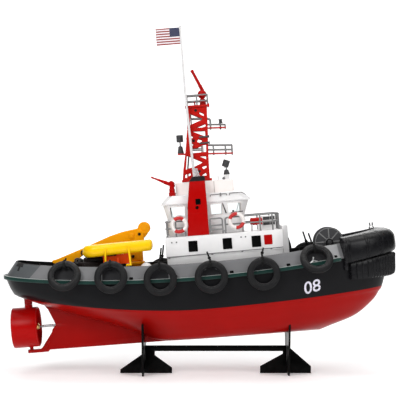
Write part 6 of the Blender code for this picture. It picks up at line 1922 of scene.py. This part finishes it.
def monitor(x, y, foot, lift, radius, mid, length, angle, thick, tip, ball, ahead, drop, name):
    """A water cannon: the post turns on one body, and the barrel also lifts on another."""
    top = lift - foot - 8.0
    profile = [(0, 0), (0, radius), (0.8, radius), (1.2, radius - 0.5), (top * 0.3, radius - 0.4), (top * 0.36, radius),
               (top * 0.42, radius), (top * 0.46, mid), (top * 0.9, mid), (top, mid * 0.9), (top, 0)]
    post = [lathe(profile, "z", (x, y, foot), 36)]
    for s in (-1, 1):
        cheek = [(-3.2, -9.0), (3.2, -9.0), (3.2, -1.0), (2.4, 1.8), (0, 3.0), (-2.4, 1.8), (-3.2, -1.0)]
        post.append(plate([(x + a, lift + b) for a, b in cheek], "y", y + s * 3.4 - 1.0, y + s * 3.4 + 1.0, edge=0.3))
        post.append(lathe([(-1.5, 0), (-1.5, 1.5), (-1.0, 2.0), (1.0, 2.0), (1.5, 1.5), (1.5, 0)], "y",
                          (x, y + s * 3.6, lift), 20))
    wheel = lathe([(-0.5, 2.6), (0, 3.1), (0.5, 2.6), (0, 2.2)], "y", (x, y + 5.6, lift), 24)
    spokes = bars([[(x - 2.6, y + 5.6, lift), (x + 2.6, y + 5.6, lift)],
                   [(x, y + 5.6, lift - 2.6), (x, y + 5.6, lift + 2.6)]], 0.35, reach=0, sides=2)
    finish([paint(p, FINISH["signal_red"]) for p in post + [wheel, spokes]], f"cannon_{name}_post",
           body=f"monitor_{name}_swivel", nodes=[f"monitor_{name}_post"], smooth=40)
    shape = [(5.0, 0), (5.0, 1.5), (4.4, 2.1), (1.0, 2.3), (-2.0, 2.2), (-4.5, thick), (-length * 0.3, thick)]
    shape += [(-length * 0.31, thick + 0.3), (-length * 0.33, thick + 0.3), (-length * 0.34, thick * 0.9)]
    shape += [(-length * 0.9, tip), (-length * 0.91, tip + 0.35), (-length + 0.6, tip + 0.35), (-length, tip),
              (-length, tip * 0.6), (-length + 2.0, tip * 0.6), (-length + 2.0, 0)]
    barrel = lathe(shape, "x", (0, 0, 0), 32)
    barrel.data.transform(Matrix.Translation((x + ahead, y, lift + 0.4 * ahead - drop))
                          @ Matrix.Rotation(math.radians(angle), 4, "Y"))
    head = lathe(bulge(ball, 12), "y", (x, y, lift), 28)
    finish([paint(p, FINISH["signal_red"]) for p in (barrel, head)], f"cannon_{name}_barrel", body=f"monitor_{name}_jet",
           nodes=[f"monitor_{name}_barrel"], smooth=40)


monitor(34.6, 0.0, 388.0 + GAP, 401.0, 5.0, 4.6, 43.5, 66.0, 2.9, 2.4, 7.4, 3.4, 0.0, "top")
for side, name in ((1, "port"), (-1, "starboard")):
    monitor(-26.5, 26.5 * side, ROOF_TOP + GAP, 257.5, 5.6, 4.2, 35.5, 25.0, 2.9, 1.1, 4.6, 0.0, 2.0, name)
print("monitors done")

# %% [markdown]
# ## The number
# Two plain figures are painted on each side of the bow. They are cut as thin text, then every
# point is laid on the hull, which is curved there.

# %% Figures on the bow


def hull_side(x, z):
    """Half breadth of the hull at a height above the paint line."""
    best = None
    for r in range(PAINT_ROW * ROWS_BETWEEN, len(hull_rows) - 1):
        low = [p for p in hull_rows[r] if p[1] >= 0]
        for a, b in zip(low, low[1:]):
            if min(a[0], b[0]) <= x <= max(a[0], b[0]) and abs(a[0] - b[0]) > 1e-6:
                t = (x - a[0]) / (b[0] - a[0])
                point = (a[1] + (b[1] - a[1]) * t, a[2] + (b[2] - a[2]) * t)
                if best is None or abs(point[1] - z) < abs(best[1] - z):
                    best = point
                break
    return best[0]


FIGURE_WIDE, FIGURE_HIGH = 12.6, 19.6
for figure, x, z, side in (("0", 179.7, 75.1, -1), ("8", 193.6, 77.4, -1), ("8", 179.7, 75.1, 1), ("0", 193.6, 77.4, 1)):
    bpy.ops.object.text_add(location=(0, 0, 0))
    text = bpy.context.object
    text.data.body = figure
    text.data.size = 26.0
    text.data.offset = 0.22
    text.data.extrude = 0.3
    only(text)
    bpy.ops.object.convert(target="MESH")
    text = bpy.context.object
    only(text)
    bpy.ops.object.mode_set(mode="EDIT")
    bpy.ops.mesh.select_all(action="SELECT")
    bpy.ops.mesh.remove_doubles(threshold=0.001)
    bpy.ops.mesh.subdivide(number_cuts=1)
    bpy.ops.object.mode_set(mode="OBJECT")
    across, up = [[v.co[i] for v in text.data.vertices] for i in (0, 1)]
    for v in text.data.vertices:
        px = x - side * FIGURE_WIDE * ((v.co.x - min(across)) / (max(across) - min(across)) - 0.5)
        pz = z + FIGURE_HIGH * ((v.co.y - min(up)) / (max(up) - min(up)) - 0.5) + 0.16 * (px - x)
        v.co = (px, side * (hull_side(px, pz) + 0.05 + v.co.z), pz)
    tidy_mesh(text, 0.0001)
    paint(text, FINISH["digit_white"])
    finish(text, f"bow_figure_{figure}_{'port' if side > 0 else 'starboard'}")
print("figures painted")

# %% [markdown]
# ## The stand
# Two plates cross a long one, each slotted half way. All are cut from black sheet with crisp
# edges, so copies of the solids get a very small bevel and a glossy black finish.

# %% Stand
for name in ("stand_plate", "stand_cradle_aft", "stand_cradle_fore"):
    finish(paint(node_copy(name, 0.3, 2), FINISH["stand_black"]), name.replace("stand_", "sheet_"),
           nodes=[name])
print("stand done")

# %% [markdown]
# ## Floor, light and camera
# The photograph is a studio shot: white all round, light from a big soft source above and a
# little in front, and a faint shadow under the model. A floor that curves up into a wall gives
# the seamless white, and large area lights give soft, long highlights on the plastic.

# %% Floor
FLOOR_HALF, WALL_ROUND, WALL_TOP = 4.5, 1.5, 5.0
floor_line = [(-FLOOR_HALF, 0.0), (0.0, 0.0), (FLOOR_HALF, 0.0)]
for i in range(1, 13):
    angle = i * math.pi / 24
    floor_line.append((FLOOR_HALF + WALL_ROUND * math.sin(angle), WALL_ROUND - WALL_ROUND * math.cos(angle)))
floor_line.append((FLOOR_HALF + WALL_ROUND, WALL_TOP))
floor_rows = [[(FLOOR_HALF * k / 4, y, z) for k in range(-4, 5)] for y, z in floor_line]
backdrop = skin(floor_rows)
backdrop.name = "backdrop"
backdrop.data.transform(Matrix.Translation((0, 0, -0.0002)))
only(backdrop)
bpy.ops.object.shade_smooth()
paper = bpy.data.materials.new("backdrop_paper")
paper.use_nodes = True
tree = paper.node_tree
place = node(tree, "ShaderNodeTexCoord").outputs["Object"]
fibre = node(tree, "ShaderNodeTexNoise", in_Scale=900.0, in_Detail=3.0)
relief = node(tree, "ShaderNodeBump", in_Strength=0.05, in_Distance=0.0002)
wire(tree, (place, fibre.inputs["Vector"]), (fibre.outputs["Fac"], relief.inputs["Height"]),
     (relief.outputs[0], tree.nodes["Principled BSDF"].inputs["Normal"]))
tree.nodes["Principled BSDF"].inputs["Base Color"].default_value = (0.92, 0.92, 0.92, 1)
tree.nodes["Principled BSDF"].inputs["Roughness"].default_value = 0.8
glow = node(tree, "ShaderNodeMapRange", in_1=1.0, in_2=4.0, in_3=0.20, in_4=0.85)
depth = node(tree, "ShaderNodeSeparateXYZ")
wire(tree, (place, depth.inputs[0]), (depth.outputs["Y"], glow.inputs[0]),
     (glow.outputs[0], tree.nodes["Principled BSDF"].inputs["Emission Color"]))
tree.nodes["Principled BSDF"].inputs["Emission Strength"].default_value = 1.0
paint(backdrop, paper)
backdrop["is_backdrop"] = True

# %% Lights


def softbox(name, place, aim, size, watts, colour=(1, 1, 1)):
    """A large area light that points at a spot."""
    bpy.ops.object.light_add(type="AREA", location=place)
    lamp = bpy.context.object
    lamp.name = name
    lamp.data.shape = "RECTANGLE"
    lamp.data.size, lamp.data.size_y = size
    lamp.data.energy = watts
    lamp.data.color = colour
    lamp.rotation_euler = (Vector(aim) - Vector(place)).to_track_quat("-Z", "Y").to_euler()
    return lamp


softbox("top_light", (0.0, -0.2, 2.2), (0.0, 0.0, 0.2), (2.6, 2.0), 38.0)
softbox("front_light", (-1.3, -2.3, 1.7), (0.0, 0.0, 0.2), (1.2, 1.2), 42.0)
softbox("side_light", (1.7, -1.9, 1.5), (0.0, 0.0, 0.2), (1.2, 1.2), 24.0)
softbox("back_light", (0.3, 2.0, 1.6), (0.0, 0.0, 0.2), (1.6, 1.0), 12.0)

# %% [markdown]
# The room itself is dark for the model and white for the camera: black plastic then mirrors
# almost nothing, as in a studio with black cloth round the camera, and stays black. Light Path
# tells the two apart in the world's shader.

# %% The room round the model
world = bpy.data.worlds.new("studio")
world.use_nodes = True
tree = world.node_tree
room = tree.nodes["Background"]
room.inputs[0].default_value = (1.0, 1.0, 1.0, 1.0)
seen = node(tree, "ShaderNodeLightPath")
level = node(tree, "ShaderNodeMapRange", in_3=0.05, in_4=1.0)
wire(tree, (seen.outputs["Is Camera Ray"], level.inputs[0]), (level.outputs[0], room.inputs[1]))
bpy.context.scene.world = world
bpy.context.scene.view_settings.view_transform = "Standard"

# %% Camera
bpy.ops.object.camera_add(location=(0.0019, -2.0, 0.2855), rotation=(math.radians(90), 0, 0))
camera = bpy.context.object
camera.name = "camera"
camera.data.lens = 109.08
camera.data.sensor_width = 36.0
camera.data.clip_start, camera.data.clip_end = 0.05, 50.0
bpy.context.scene.camera = camera

# %% Sizes of the frame and of the finished model
size = {"cad": [list(c) for c in cad_box], "visual": [list(c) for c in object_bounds()]}
print("sizes in mm:", {k: [[round(c * 1000, 1) for c in corner] for corner in v] for k, v in size.items()})
